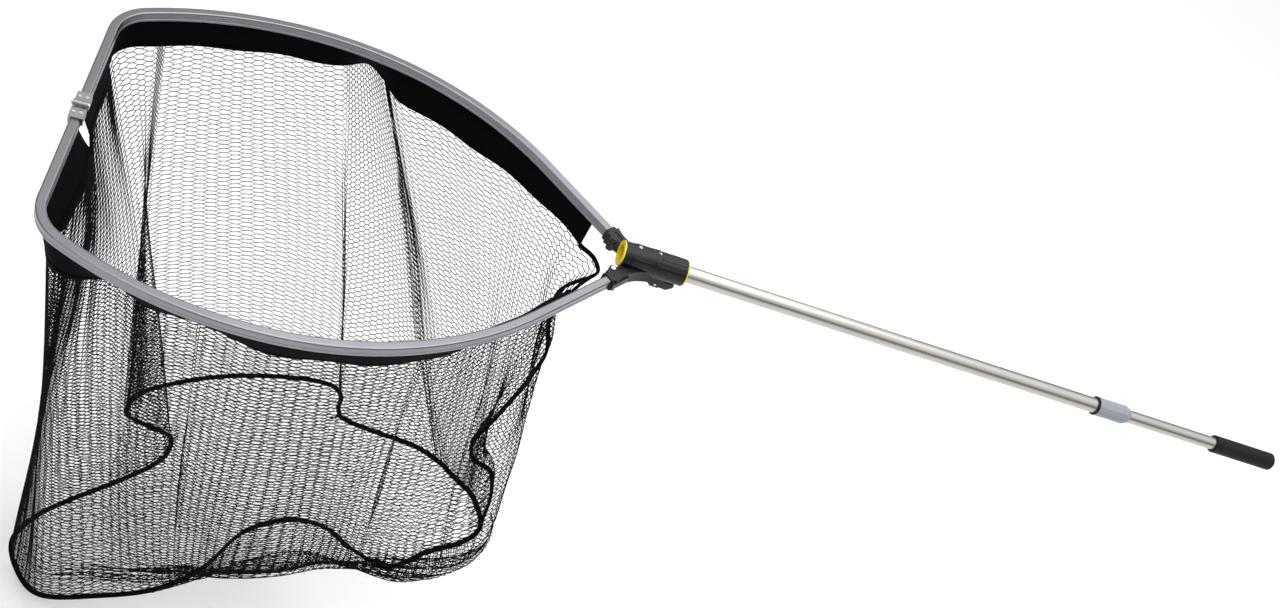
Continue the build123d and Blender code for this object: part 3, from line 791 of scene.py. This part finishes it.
@dataclass
class Bag:
    """The netting: a wall lofted from the rim to a wavy bottom seam, a bottom panel, and the tapes.

    Attributes:
        head_x: The head's front rim in the row frame.
        cell_flat: Length of a mesh's flat top.
        cell_slant: How far across its slanted side goes.
        cell_h: Its height.
        strand: Thickness of a strand.
        uneven: How far a knot strays each way from its place.
        tape: Width of the tapes.
        head_loop: x and y in the fold plane of the rim's loop at the head, from the far band to the near one.
        head_seam: Points of the seam down the head end, with x from the head's front rim.
        head_seam_wide: How far round the wall that seam pulls the netting.
        rim_z: Height of the loop, from the fold plane.
        fold_seam: Stations where the bottom panel's fold starts and ends on the seam.
        fold_tip: The fold's far point, as x from the head's front rim and y.
        fold_lift: How far the fold lies above the panel.
        pinch_front: Length of rim that eases onto the arm at the hinge; not used.
        pinch_head: The same at the head.
        hang: Depth at which the netting has mostly left its arm for the head; not used.
        panel_sag: How far the bottom panel hangs below its seam, and panel_ease is how soon it does so.
        panel_slope: Length of netting for each length of plan along X.
        seam_round: The length round the rim that the seam's stations are given for.
        gathers: For each stretch where the netting is only gathered: its station, spare width and length.
        seam: For each point of the bottom seam: the rim's station above it, then x from the head's front rim,
            y, z, how far the wall bellies out from the middle, and how far it bellies down.
    """

    hoop: Hoop
    bands: dict
    head_x: float
    cell_flat: float = 9.0
    cell_slant: float = 7.3
    cell_h: float = 9.3
    strand: float = 1.8
    uneven: float = 0.8
    tape: float = 9.0
    head_loop: tuple = ((-20.0, 58.0), (-11.0, 30.0), (-25.0, 10.0), (-42.0, -12.0), (-56.0, -34.0))
    head_seam: tuple = (
        (-41, 5, -100), (-56, 2, -122), (-57, -2, -161), (-49, -8, -194), (-27, -22, -261), (-35, -38, -318),
        (-63, -70, -417), (-81, -92, -474), (-72, -106, -489), (-36, -124, -488), (-24, -142, -512),
    )
    head_seam_wide: float = 85.0
    rim_z: float = -82.0
    fold_seam: tuple = (218.0, 300.0)
    fold_tip: tuple = (-652.0, -62.0)
    fold_lift: float = 6.0
    pinch_front: float = 10.0
    pinch_head: float = 66.0
    hang: float = 150.0
    panel_sag: float = 46.0
    panel_ease: float = 55.0
    panel_slope: float = 1.18
    seam_round: float = 2400.0
    seam: tuple = (
        (0, -712, -98, -950, 0, 0),
        (110, -625, -52, -900, 0, 0),
        (215, -566, -8, -860, -10, 0),
        (240, -566, 38, -860, -20, 0),
        (262, -610, 66, -884, -20, 0),
        (285, -655, 98, -908, -10, 0),
        (305, -650, 140, -905, 0, 0),
        (345, -600, 168, -880, 10, 0),
        (425, -500, 184, -825, 20, 0),
        (515, -385, 177, -765, 20, 0),
        (582, -305, 154, -724, 10, 0),
        (599, -284, 122, -710, 0, 0),
        (609, -283, 78, -710, 0, 0),
        (623, -225, 40, -680, 0, 0),
        (643, -150, 2, -640, 0, 0),
        (668, -104, -37, -615, 10, 0),
        (770, -80, -66, -603, 15, 0),
        (930, -56, -94, -592, 15, 10),
        (1070, -36, -122, -582, -10, 20),
        (1200, -15, -172, -590, -20, 20),
        (1290, -40, -205, -602, 80, 120),
        (1380, -95, -220, -640, 100, 140),
        (1470, -150, -240, -684, 80, 130),
        (1560, -215, -196, -724, 60, 180),
        (1640, -262, -146, -755, 80, 260),
        (1720, -325, -122, -795, 100, 330),
        (1800, -395, -142, -842, 80, 280),
        (1890, -450, -215, -878, 40, 160),
        (1980, -520, -252, -922, 15, 110),
        (2070, -612, -256, -982, 0, 90),
        (2160, -700, -246, -1040, 0, 50),
        (2230, -748, -208, -1062, 0, 0),
        (2300, -782, -158, -1030, 0, 0),
        (2360, -755, -122, -985, 0, 0),
    )
    pleats: tuple = (
        Pleat(290, 84, 12, 0.2, 0.95, 1.4, 5.0),
        Pleat(598, 18, 4, 0.02, 0.3, 1.1, 3.0),
        Pleat(664, 80, 12, 0.02, 0.35, 1.2, 5.0),
        Pleat(1400, 30, 10, 0.1, 0.5, 0.95),
        Pleat(1560, 26, 8, 0.1, 0.5, 0.8),
        Pleat(1900, 24, 7, 0.1, 0.5, 0.9),
        Pleat(2190, 36, 40, 0.0, 0.05, 1.3, 5.0),
    )
    gathers: tuple = ((602.0, 200.0, 58.0),)
    sags: tuple = (
        Sag(1420, 130, 0.80, 0.05, 90),
        Sag(1700, 300, 0.86, 0.05, 120),
        Sag(1980, 150, 0.90, 0.03, 60),
    )
    dents: tuple = (
        Dent(0, 0.25, 120, 0.18, (14, 0, 0)),
        Dent(2330, 0.12, 80, 0.10, (14, 0, 0)),
        Dent(1330, 0.62, 120, 0.25, (24, -16, 0)),
        Dent(500, 0.5, 150, 0.3, (0, 18, 0)),
        Dent(900, 0.45, 130, 0.3, (10, 12, 0)),
        Dent(1700, 0.5, 200, 0.3, (0, -22, 0)),
        Dent(2000, 0.45, 160, 0.3, (0, 14, 0)),
    )

    def __post_init__(self) -> None:
        """Works out the rim, the seam and the wall's surface."""
        self.half = self.bands[Side.FAR].end + self.pinch_head
        self.period = 2 * self.half
        self.stations = np.linspace(0, self.period, 481)[:-1]
        self.shares = np.linspace(0, 1, 61)
        self.rim = self.rim_line(self.stations)
        seam = np.array(self.seam, float)
        seam[:, 0] *= self.period / self.seam_round
        seam[:, 1] += self.head_x
        read = spline(seam[:, 1:], self.stations, seam[:, 0], self.period)
        self.bottom = read[:, :3]
        self.surface, self.drop = self.wall_surface(read[:, 3], read[:, 4])

    def rim_line(self, station: np.ndarray) -> np.ndarray:
        """The line that the netting hangs from.

        Args:
            station: Distances round the rim from the front hinge, over the far side first.

        Returns:
            Points at the lower edge of the bands, and on the loop that joins their ends.
        """
        far, near = self.bands[Side.FAR], self.bands[Side.NEAR]
        far_part = np.clip(station, far.start, far.end)
        near_part = np.clip(self.period - station, near.start, near.end)
        on_far = station < self.half
        found = np.where(on_far[:, None], far.point(far_part, far.height), near.point(near_part, near.height))
        loop = np.array([(x, y, self.rim_z) for x, y in self.head_loop], float)
        ends = far.point(np.array([far.end]), far.height), near.point(np.array([near.end]), near.height)
        middle = self.hoop.world(loop[:, 0], loop[:, 1], loop[:, 2])
        way = np.concatenate([ends[0], middle, ends[1]])
        knots = np.linspace(far.end, self.period - near.end, len(way))
        for k in range(3):
            curve = smooth_through(knots, way[:, k])
            at_head = (station > far.end) & (station < self.period - near.end)
            found[at_head, k] = curve(station[at_head])
        gap = np.minimum(station, self.period - station)
        near_start = near.point(np.array([near.start]), near.height)
        far_start = far.point(np.array([far.start]), far.height)
        at_hinge = gap < far.start
        across = ((np.where(on_far, station, station - self.period) / far.start) + 1) / 2
        found[at_hinge] = (near_start + (far_start - near_start) * across[:, None])[at_hinge]
        return found

    def wall_surface(self, out: np.ndarray, down: np.ndarray) -> tuple[np.ndarray, np.ndarray]:
        """Lofts the wall from the rim to the seam.

        Args:
            out: How far the wall bellies outwards, for each station.
            down: How far it bellies down.

        Returns:
            Points for each station and share of the way down, and each column's length.
        """
        middle = self.rim.mean(0) * 0.5 + self.bottom.mean(0) * 0.5
        outward = self.bottom - middle
        outward[:, 2] = 0
        belly = 0.5 * (self.rim + self.bottom) + unit(outward) * out[:, None]
        lower = smoothstep(down / 100)[:, None]
        belly = belly * (1 - lower) + (self.bottom + unit(outward) * out[:, None]) * lower
        belly[:, 2] -= down
        t = np.linspace(0, 1, 121)[None, :, None]
        rim, bottom = self.rim[:, None], self.bottom[:, None]
        curve = (1 - t) ** 2 * rim + 2 * t * (1 - t) * belly[:, None] + t**2 * bottom
        share = t[0, :, 0]
        for dent in self.dents:
            round_it = np.exp(-((self.away(self.stations, dent.station) / dent.wide) ** 2))
            down_it = np.exp(-(((share - dent.share) / dent.tall) ** 2)) * np.sin(math.pi * share) ** 0.5
            curve += round_it[:, None, None] * down_it[None, :, None] * np.array(dent.push, float)
        curve += self.head_pull(curve[len(curve) // 2])
        steps = np.linalg.norm(np.diff(curve, axis=1), axis=2)
        along = np.concatenate([np.zeros((len(curve), 1)), np.cumsum(steps, axis=1)], axis=1)
        rows = [
            [np.interp(self.shares * a[-1], a, c[:, k]) for k in range(3)] for a, c in zip(along, curve)
        ]
        return np.moveaxis(np.array(rows), 1, 2), along[:, -1]

    def head_pull(self, column: np.ndarray) -> np.ndarray:
        """Pulls the wall to the line of the seam down the head end.

        Args:
            column: The wall's own column there, from rim to seam.

        Returns:
            How far to move each point of the wall.
        """
        line = np.array(self.head_seam, float)
        line[:, 0] += self.head_x
        line = np.concatenate([column[:1], line, column[-1:]])
        along = np.concatenate([[0], np.cumsum(np.linalg.norm(np.diff(line, axis=0), axis=1))])
        share = np.linspace(0, along[-1], len(column))
        wanted = np.stack([smooth_through(along, line[:, k])(share) for k in range(3)], -1)
        near_it = np.exp(-(((self.stations - self.half) / self.head_seam_wide) ** 2))
        return near_it[:, None, None] * (wanted - column)

    def away(self, station: np.ndarray, middle: float) -> np.ndarray:
        """Distances from a middle station, the short way round the rim."""
        return (station - middle + self.half) % self.period - self.half

    def on_wall(self, station: np.ndarray, share: np.ndarray) -> np.ndarray:
        """Reads the wall's surface.

        Args:
            station: Distances round the rim.
            share: Shares of the way down, as many as stations.

        Returns:
            One point for each pair.
        """
        step = self.period / len(self.stations)
        a = (np.asarray(station) % self.period) / step
        b = np.clip(share, 0, 1) * (len(self.shares) - 1)
        i = np.floor(a).astype(int) % len(self.stations)
        j = np.minimum(np.floor(b).astype(int), len(self.shares) - 2)
        i1 = (i + 1) % len(self.stations)
        p, q = (a - np.floor(a))[:, None], (b - j)[:, None]
        above, below = (self.surface[i, k] * (1 - p) + self.surface[i1, k] * p for k in (j, j + 1))
        return above * (1 - q) + below * q

    def wall_normal(self, station: np.ndarray, share: np.ndarray) -> np.ndarray:
        """Directions square to the wall, pointing out of the bag."""
        reach, deep = 12, 0.03
        ahead = self.on_wall(station + reach, share) - self.on_wall(station - reach, share)
        below = self.on_wall(station, share + deep) - self.on_wall(station, share - deep)
        return unit(np.cross(below, ahead))

    def gathered(self) -> tuple[np.ndarray, np.ndarray]:
        """Lays the netting's width out round the rim, with each pleat's spare width in its place.

        Returns:
            Knots of the width, and the station at each knot.
        """
        width, station = [0.0], [0.0]
        pleats = [(pleat.station, pleat.spare, pleat.reach) for pleat in self.pleats]
        for start, spare, reach in sorted(pleats + list(self.gathers)):
            width.append(width[-1] + start - station[-1])
            station.append(start)
            width.append(width[-1] + reach + spare)
            station.append(start + reach)
        width.append(width[-1] + self.period - station[-1])
        station.append(self.period)
        return np.array(width), np.array(station)

    def netting_points(
        self, width: np.ndarray, fall: np.ndarray
    ) -> tuple[np.ndarray, np.ndarray, np.ndarray]:
        """Places of the netting's knots on the wall.

        Args:
            width: Distance of each knot across the flat netting.
            fall: Distance of each knot down from the rim.

        Returns:
            Points, stations and shares of the way down.
        """
        knots, stations = self.gathered()
        station = np.interp(width % knots[-1], knots, stations)
        length = np.interp(station, np.append(self.stations, self.period), np.append(self.drop, self.drop[0]))
        fall = fall + 7 * np.sin(station / 83) * np.clip(fall / length, 0, 1)
        folds = []
        for sag in self.sags:
            there = np.exp(-((self.away(station, sag.station) / sag.wide) ** 4))
            start, reach = sag.share * length, sag.reach * length
            past = fall - start
            taken = reach + sag.spare * there
            beyond = np.where(past < taken, start + past * reach / taken, start + past - taken + reach)
            fall = np.where(past < 0, fall, beyond)
            folds.append((sag, there))
        share = np.clip(fall / length, 0, 1)
        drift, turns, lag = 11, 5, 3
        sway = np.sin(2 * math.pi * station / self.period * turns + lag * share)
        moved, lift, lowered = station + drift * share * sway, np.zeros_like(station), share.copy()
        for pleat in self.pleats:
            phase = np.clip((station - pleat.station) / pleat.reach, 0, 1) * 2 * math.pi
            opening = pleat.opening(share)
            moved += (pleat.reach + pleat.spare) / 4 * opening * zigzag(phase)
            lift += pleat.apart * opening * layers(phase)
        for sag, there in folds:
            phase = np.clip((share - sag.share) / sag.reach, 0, 1) * 2 * math.pi
            lowered += (sag.reach + sag.spare / length) / 4 * there * zigzag(phase)
            lift += sag.apart * there * layers(phase)
        lowered = np.clip(lowered, 0, 1)
        ripple = 2.2 * np.sin(station / 31 + 5 * share) + 1.8 * np.sin(station / 17 - 9 * share)
        lift += ripple * np.sin(math.pi * share)
        return self.on_wall(moved, lowered) + self.wall_normal(moved, lowered) * lift[:, None], station, share

    def lattice(
        self, columns: int, rows: np.ndarray, rng: np.random.Generator
    ) -> tuple[np.ndarray, np.ndarray, np.ndarray, np.ndarray]:
        """Lays out the knots of flat netting.

        Args:
            columns: Number of columns of knots.
            rows: The number of each row.
            rng: Source of the small unevenness of the knots.

        Returns:
            Each knot's distance across, its row, and how far it strays across and down.
        """
        column, row = np.meshgrid(np.arange(columns), rows, indexing="ij")
        slant = np.where((column + row) % 2 == 0, self.cell_slant, 0.0)
        across = column * (self.cell_flat + self.cell_slant) + self.cell_flat / 2 + slant
        stray = [rng.uniform(-self.uneven, self.uneven, row.shape) for _ in range(2)]
        return across, row, *stray

    def wall(self, rng: np.random.Generator) -> list[bpy.types.Object]:
        """Knits the wall's netting, in a far and a near half.

        Args:
            rng: Source of the small unevenness of the knots.

        Returns:
            The two pieces.
        """
        pitch = self.cell_flat + self.cell_slant
        total = self.gathered()[0][-1]
        columns = 2 * round(total / pitch / 2)
        half_row = self.cell_h / 2
        rows = int((self.drop.max() + sum(sag.spare for sag in self.sags)) / half_row) + 2
        across, row, stray_across, stray_down = self.lattice(columns, np.arange(-1, rows), rng)
        width = across * total / (columns * pitch) + stray_across
        fall = np.maximum(row * half_row + stray_down * (row > 0), 0)
        points, station, share = self.netting_points(width.ravel(), fall.ravel())
        count = rows + 1
        fallen = (share >= 1).reshape(fall.shape)
        middle = station.reshape(fall.shape)
        far, near = [], []
        for c in range(columns):
            before = (c - 1) % columns
            for r in range(1, count - 1):
                if (r - 1 + c) % 2 or fallen[c, r] and fallen[c, r - 1]:
                    continue
                (far if middle[c, r] < self.half else near).append(mesh_ring(count, before, c, r))
        made = []
        log.info("netting meshes: %d far, %d near", len(far), len(near))
        for side, faces in ((Side.FAR, far), (Side.NEAR, near)):
            used, renumbered = np.unique(np.array(faces), return_inverse=True)
            piece = new_piece(
                f"netting_{side.word}_wall", points[used], renumbered.reshape(-1, 6).tolist(), NET_NYLON
            )
            self.knit(piece)
            follow(piece)
            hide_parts(f"bag_{side.word}")
            made.append(piece)
        return made

    def knit(self, piece: bpy.types.Object) -> None:
        """Turns each mesh of a netting piece to strands."""
        strands = piece.modifiers.new("strands", "WIREFRAME")
        strands.thickness = self.strand * MM
        strands.use_even_offset = False
        strands.use_boundary = True
        strands.use_replace = True

    def sagged(self, spots: np.ndarray) -> np.ndarray:
        """Heights of the bottom panel.

        Args:
            spots: Places along X and Y.

        Returns:
            Heights, level with the seam at the edge and hanging lower inside.
        """
        loop = self.bottom[::2]
        gap = np.linalg.norm(spots[:, None] - loop[None, :, :2], axis=2)
        softness = 30
        weight = 1 / (gap**2 + softness)
        edge = gap.min(1)
        wave = 5 * np.sin(spots[:, 0] / 37) * np.sin(spots[:, 1] / 29) * smoothstep(edge / 60)
        level = (weight * loop[None, :, 2]).sum(1) / weight.sum(1)
        return level - self.panel_sag * (1 - np.exp(-edge / self.panel_ease)) + wave

    def panel(
        self, name: str, outline: np.ndarray, lift: float, rng: np.random.Generator
    ) -> bpy.types.Object:
        """Knits a panel inside an outline.

        Args:
            name: The piece's name.
            outline: Its edge, a closed line in space.
            lift: How far it lies above the bottom panel's own surface.
            rng: Source of the small unevenness of the knots.

        Returns:
            The piece, which rides on the head.
        """
        pitch, half_row = self.cell_flat + self.cell_slant, self.cell_h / 2
        low, high = outline[:, :2].min(0), outline[:, :2].max(0)
        columns = int((high[0] - low[0]) * self.panel_slope / pitch) + 2
        rows = int((high[1] - low[1]) / half_row) + 4
        across, row, stray_across, stray_down = self.lattice(columns, np.arange(rows), rng)
        x = low[0] + (across + stray_across) / self.panel_slope
        y = low[1] + (row - 1) * half_row + stray_down
        flat = np.stack([x, y], -1)
        inside = within(flat.reshape(-1, 2), outline[:, :2]).reshape(x.shape)
        faces = [
            mesh_ring(rows, c - 1, c, r)
            for c in range(1, columns)
            for r in range(1, rows - 1)
            if (r + c) % 2 == 0 and (inside[c, r] or inside[c - 1, r])
        ]
        used, renumbered = np.unique(np.array(faces), return_inverse=True)
        spots, clear = flat.reshape(-1, 2)[used], inside.ravel()[used]
        points = np.column_stack([spots, self.sagged(spots) + lift])
        nearest = np.linalg.norm(spots[:, None] - outline[None, :, :2], axis=2).argmin(1)
        points[~clear] = outline[nearest[~clear]]
        piece = new_piece(name, points, renumbered.reshape(-1, 6).tolist(), NET_NYLON)
        self.knit(piece)
        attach(piece, "head")
        return piece

    def fold_outline(self) -> np.ndarray:
        """The edge of the bottom panel's fold: the seam's hooked stretch, and two creases to its tip."""
        first, last = (np.searchsorted(self.stations, station) for station in self.fold_seam)
        hook = self.bottom[first:last]
        tip = np.array([self.head_x + self.fold_tip[0], self.fold_tip[1], 0.0])
        t = np.linspace(0, 1, 30)[1:-1, None]
        there, back = hook[-1] * (1 - t) + tip * t, tip * (1 - t) + hook[0] * t
        creases = np.concatenate([there, tip[None], back])
        creases[:, 2] = self.sagged(creases[:, :2]) + self.fold_lift
        return np.concatenate([hook, creases])

    def floor(self, rng: np.random.Generator) -> list[bpy.types.Object]:
        """Knits the bottom panel and the fold that lies on it.

        Args:
            rng: Source of the small unevenness of the knots.

        Returns:
            The panel and its fold.
        """
        return [
            self.panel("netting_bottom", self.bottom[::2], 0.0, rng),
            self.panel("netting_bottom_fold", self.fold_outline(), self.fold_lift, rng),
        ]

    def tapes(self) -> list[bpy.types.Object]:
        """Binds the seams: the rim's two open stretches, the bottom seam and the seam down the head end.

        Returns:
            The tapes.
        """
        made = []
        up = np.array((0.0, 0.0, 1.0))
        points, sides = 24, 8
        gap = self.bands[Side.FAR].start + 4
        end = self.bands[Side.FAR].end - 5
        for side in Side:
            for place, first, last in (("hinge", 0.0, gap), ("head", end, self.half)):
                station = np.linspace(first, last, points)
                if side is Side.NEAR:
                    station = self.period - station
                line = self.rim_line(np.clip(station, 1e-6, self.period - 1e-6))
                name, across = f"rim_tape_{side.word}_{place}", np.tile(up, (points, 1))
                piece = swept(name, line, across, self.tape, 6.0, BOUND_TAPE, sides)
                follow(piece)
                made.append(piece)
        inward = unit(self.bottom.mean(0) - self.bottom)
        seam = swept("bottom_seam_tape", self.bottom, inward, self.tape * 1.1, 7.0, BOUND_TAPE, closed=True)
        share = np.linspace(0, 1, 60)
        station = np.full(len(share), self.half)
        down = swept(
            "head_seam_tape",
            self.on_wall(station, share),
            self.on_wall(station + 8, share) - self.on_wall(station - 8, share),
            self.tape,
            6.5,
            BOUND_TAPE,
        )
        for piece in (seam, down):
            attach(piece, "head")
            made.append(piece)
        return made

    def declare(self, walls: list) -> None:
        """Works out half of the netting's flat width, in metres, for each wall, and does nothing more with it.

        Args:
            walls: The far and near walls.
        """
        for piece, side in zip(walls, Side):
            width = self.gathered()[0][-1] / 2 * MM


def smooth_through(knots: np.ndarray, values: np.ndarray) -> Callable[[np.ndarray], np.ndarray]:
    """Makes a smooth open curve through values at knots.

    Args:
        knots: Rising stations.
        values: The value at each knot.

    Returns:
        A function of the station.
    """
    slopes = np.gradient(values, knots)

    def read(at: np.ndarray) -> np.ndarray:
        """The curve's value at stations between the first and last knot."""
        i = np.clip(np.searchsorted(knots, at, side="right") - 1, 0, len(knots) - 2)
        gap = knots[i + 1] - knots[i]
        t = (at - knots[i]) / gap
        return eased(values[i], values[i + 1], slopes[i] * gap, slopes[i + 1] * gap, t)

    return read


def mesh_ring(count: int, before: int, column: int, row: int) -> list[int]:
    """Knot numbers round one mesh of the netting.

    Args:
        count: Knots in a column.
        before: The mesh's left column.
        column: Its right column.
        row: Its middle row.

    Returns:
        Its six knots: down the left column, then up the right one.
    """
    left, right = before * count + row, column * count + row
    return [left - 1, left, left + 1, right + 1, right, right - 1]


def within(spots: np.ndarray, loop: np.ndarray) -> np.ndarray:
    """Says which spots lie inside a closed loop.

    Args:
        spots: Points of a plane.
        loop: The loop's corners, in order.

    Returns:
        True for each spot inside.
    """
    x, y = spots[:, 0][:, None], spots[:, 1][:, None]
    x0, y0 = loop[:, 0], loop[:, 1]
    x1, y1 = np.roll(x0, -1), np.roll(y0, -1)
    spans = (y0 > y) != (y1 > y)
    crossing = x < (x1 - x0) * (y - y0) / np.where(y1 == y0, 1e-9, y1 - y0) + x0
    return (spans & crossing).sum(1) % 2 == 1


def follow(piece: bpy.types.Object) -> None:
    """Bakes a piece's placement into its mesh, so that it stays where it was built.

    Args:
        piece: The piece, at rest.
    """
    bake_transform(piece)


# ---------------------------------------------------------------- rigid parts


@dataclass
class HardParts:
    """Finishes of the CAD nodes that stay, and the fine raised detail of the mouldings.

    Attributes:
        head_x: The head's front rim in the row frame.
        barrel_r: Outer radius of the head's barrel.
        rib: Width and height of a raised line.
        finishes: Each finish, with the names of the nodes that take it.
    """

    head_x: float
    barrel_r: float = 22.5
    rib: float = 1.8
    finishes: tuple = (
        (ANODISED_TUBE, ("inner_tube", "outer_tube")),
        (ANODISED_RAIL, ("far_rail", "near_rail")),
        (GRIP_RUBBER, ("rubber_grip",)),
        (PLUG_NYLON, ("butt_plug", "tip_plug", "inner_bush", "collet", "collar_seal")),
        (COLLAR_ABS, ("lock_collar",)),
        (HEAD_NYLON, ("head_core", "far_yoke", "near_yoke", "release_lever")),
        (ACETAL, ("front_liner", "rear_liner")),
        # Painted shade: the far clamp screw is coloured black to stand for the dark recess it sits in.
        (RECESS_SHADE_STEEL, ("far_clamp_screw",)),
        (CAST_ZINC, ("far_saddle", "near_saddle")),
        (
            TURNED_STEEL,
            (
                "ring_screw", "housing_screw", "near_clamp_screw", "hinge_pin", "lever_axle",
                "lever_spring", "lock_pin", "far_saddle_rivets", "near_saddle_rivets",
            ),
        ),
    )

    def dress(self) -> None:
        """Gives every CAD node that shows its finish."""
        for finish, nodes in self.finishes:
            for name in nodes:
                mesh = frame["nodes"][name].data
                mesh.materials.clear()
                mesh.materials.append(finish.make())
                log.info("%s: %s", name, finish.name)

    def ribs(self) -> list[bpy.types.Object]:
        """Raises the thin moulded lines along the barrel.

        Returns:
            One piece for each line.
        """
        made = []
        points, sunk = 12, 0.1
        for name, body, start, end, angles in (
            ("ring_ribs", "near_arm", 17.0, 51.0, (52, 68, -34)),
            ("housing_ribs", "head", 62.0, 106.0, (20, 36, 52, 68, -34, -62)),
        ):
            for number, angle in enumerate(angles):
                turn = math.radians(angle)
                out = np.array((0.0, -math.sin(turn), math.cos(turn)))
                x = np.linspace(start, end, points)
                sideways = np.tile(out[1:] * (self.barrel_r - sunk), (points, 1))
                line = np.column_stack([self.head_x + x, sideways])
                across = np.tile(np.cross(out, (1, 0, 0)), (points, 1))
                piece = swept(f"{name}_{number}", line, across, self.rib, self.rib, HEAD_NYLON)
                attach(piece, body)
                made.append(piece)
        return made


# ---------------------------------------------------------------- studio


@dataclass
class Studio:
    """Pale floor, soft light and the camera.

    Attributes:
        place: The camera's place, from the head's front rim, in millimetres.
        azimuth: 0 looks along +Y and 90 along -X, in degrees.
        elevation: Angle above the horizon.
        roll: Turn of the camera about its own line of sight.
        lens: Focal length, in millimetres, and sensor is the sensor's width.
        floor_gap: Distance from the bag down to the floor.
        floor_half: Half of the floor's width, in metres, wide enough to reach the horizon.
        low_glow: Strength of the surround near the horizon, and high_glow is its strength overhead.
    """

    head_x: float
    place: tuple = (-645.8, -1604.7, 1510.3)
    azimuth: float = -24.25
    elevation: float = 42.43
    roll: float = 34.21
    lens: float = 40.0
    sensor: float = 36.0
    floor_gap: float = 12.0
    floor_half: float = 60.0
    low_glow: float = 0.12
    high_glow: float = 1.35

    def camera(self) -> bpy.types.Object:
        """Makes the camera and sets it as the scene's."""
        data = bpy.data.cameras.new("camera")
        data.lens = self.lens
        data.sensor_width = self.sensor
        data.clip_end = 100.0
        camera = bpy.data.objects.new("camera", data)
        bpy.context.scene.collection.objects.link(camera)
        azimuth, elevation = math.radians(self.azimuth), math.radians(self.elevation)
        flat = math.cos(elevation)
        back = Vector((math.sin(azimuth) * flat, -math.cos(azimuth) * flat, math.sin(elevation)))
        level = Vector((math.cos(azimuth), math.sin(azimuth), 0))
        right = (Matrix.Rotation(math.radians(self.roll), 3, back) @ level).normalized()
        turn = Matrix((right, back.cross(right), back)).transposed()
        camera.matrix_world = turn.to_4x4()
        camera.location = (Vector(self.place) + Vector((self.head_x, 0, 0))) * MM
        bpy.context.scene.camera = camera
        return camera

    def floor(self) -> bpy.types.Object:
        """Makes the pale floor just under the bag."""
        half = self.floor_half
        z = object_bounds()[0].z - self.floor_gap * MM
        mesh = bpy.data.meshes.new("studio_floor")
        corners = [(-half, -half, z), (half, -half, z), (half, half, z), (-half, half, z)]
        mesh.from_pydata(corners, [], [(0, 1, 2, 3)])
        floor = bpy.data.objects.new("studio_floor", mesh)
        bpy.context.scene.collection.objects.link(floor)
        # Seamless paper: matt and nearly white.
        paper = Finish(
            "background paper, matt", "#FAFAFA", "#F8F8F8", 0.9, 0.05, patch_mm=900, grain_mm=8, depth_mm=0.0
        )
        mesh.materials.append(paper.make())
        floor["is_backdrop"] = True
        return floor

    def lights(self) -> None:
        """Hangs the soft boxes and the white surround."""
        middle = Vector((self.head_x * MM, 0.0, 0.0))
        for name, offset, size, power in (
            ("overhead_softbox", (0.2, 0.4, 3.4), 3.4, 62.0),
            ("front_softbox", (-2.8, -2.6, 1.6), 1.6, 14.0),
            ("back_softbox", (1.4, 3.4, 2.4), 2.0, 18.0),
        ):
            data = bpy.data.lights.new(name, "AREA")
            data.shape = "SQUARE"
            data.size = size
            data.energy = power
            lamp = bpy.data.objects.new(name, data)
            bpy.context.scene.collection.objects.link(lamp)
            lamp.location = middle + Vector(offset)
            lamp.rotation_mode = "QUATERNION"
            lamp.rotation_quaternion = (-Vector(offset)).to_track_quat("-Z", "Y")
        world = bpy.data.worlds.new("studio")
        world.use_nodes = True
        place = add_node(world, "ShaderNodeTexCoord").outputs["Generated"]
        height = add_node(world, "ShaderNodeSeparateXYZ", {0: place}).outputs["Z"]
        glow = add_node(
            world,
            "ShaderNodeMapRange",
            {
                "Value": height,
                "From Min": 0.1,
                "From Max": 0.95,
                "To Min": self.low_glow,
                "To Max": self.high_glow,
            },
            interpolation_type="SMOOTHSTEP",
        ).outputs[0]
        background = world.node_tree.nodes["Background"]
        background.inputs["Color"].default_value = linear("#FFFFFF")
        world.node_tree.links.new(glow, background.inputs["Strength"])
        bpy.context.scene.world = world
        bpy.context.scene.view_settings.view_transform = "Standard"


def main() -> None:
    """Builds the net's soft parts and dresses the rest, then sets the studio up round it."""
    logging.basicConfig(level=logging.INFO, format="%(message)s")
    rng = np.random.default_rng(7)
    flange = 2.5
    head_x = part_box("front_liner")[0].x / MM + flange
    hoop = Hoop()
    studio = Studio(head_x)
    studio.camera()
    hard = HardParts(head_x)
    hard.dress()
    pieces = hard.ribs()
    far_lean = (
        (0, 14), (120, 14), (190, 6), (240, 0), (480, -3), (540, -10), (600, -27), (630, -42), (660, -27),
        (700, 8), (760, 26), (840, 20), (920, 10), (1190, 4),
    )
    near_lean = (
        (0, 34), (100, 36), (180, 32), (225, 12), (285, 8), (325, 34), (400, 24), (460, 36), (540, 30),
        (620, 22), (700, 19), (780, 19), (860, 28), (920, 38), (1050, 42), (1190, 52),
    )
    bands = {side: Band(hoop, side, lean) for side, lean in ((Side.FAR, far_lean), (Side.NEAR, near_lean))}
    for band in bands.values():
        pieces += band.build()
    bag = Bag(hoop, bands, head_x)
    walls = bag.wall(rng)
    floor = bag.floor(rng)
    tapes = bag.tapes()
    bag.declare(walls)
    pieces += walls + floor + tapes
    for piece in pieces:
        log.info("%s: %d vertices", piece.name, len(piece.data.vertices))
    studio.floor()
    studio.lights()


if __name__ == "__main__":
    main()
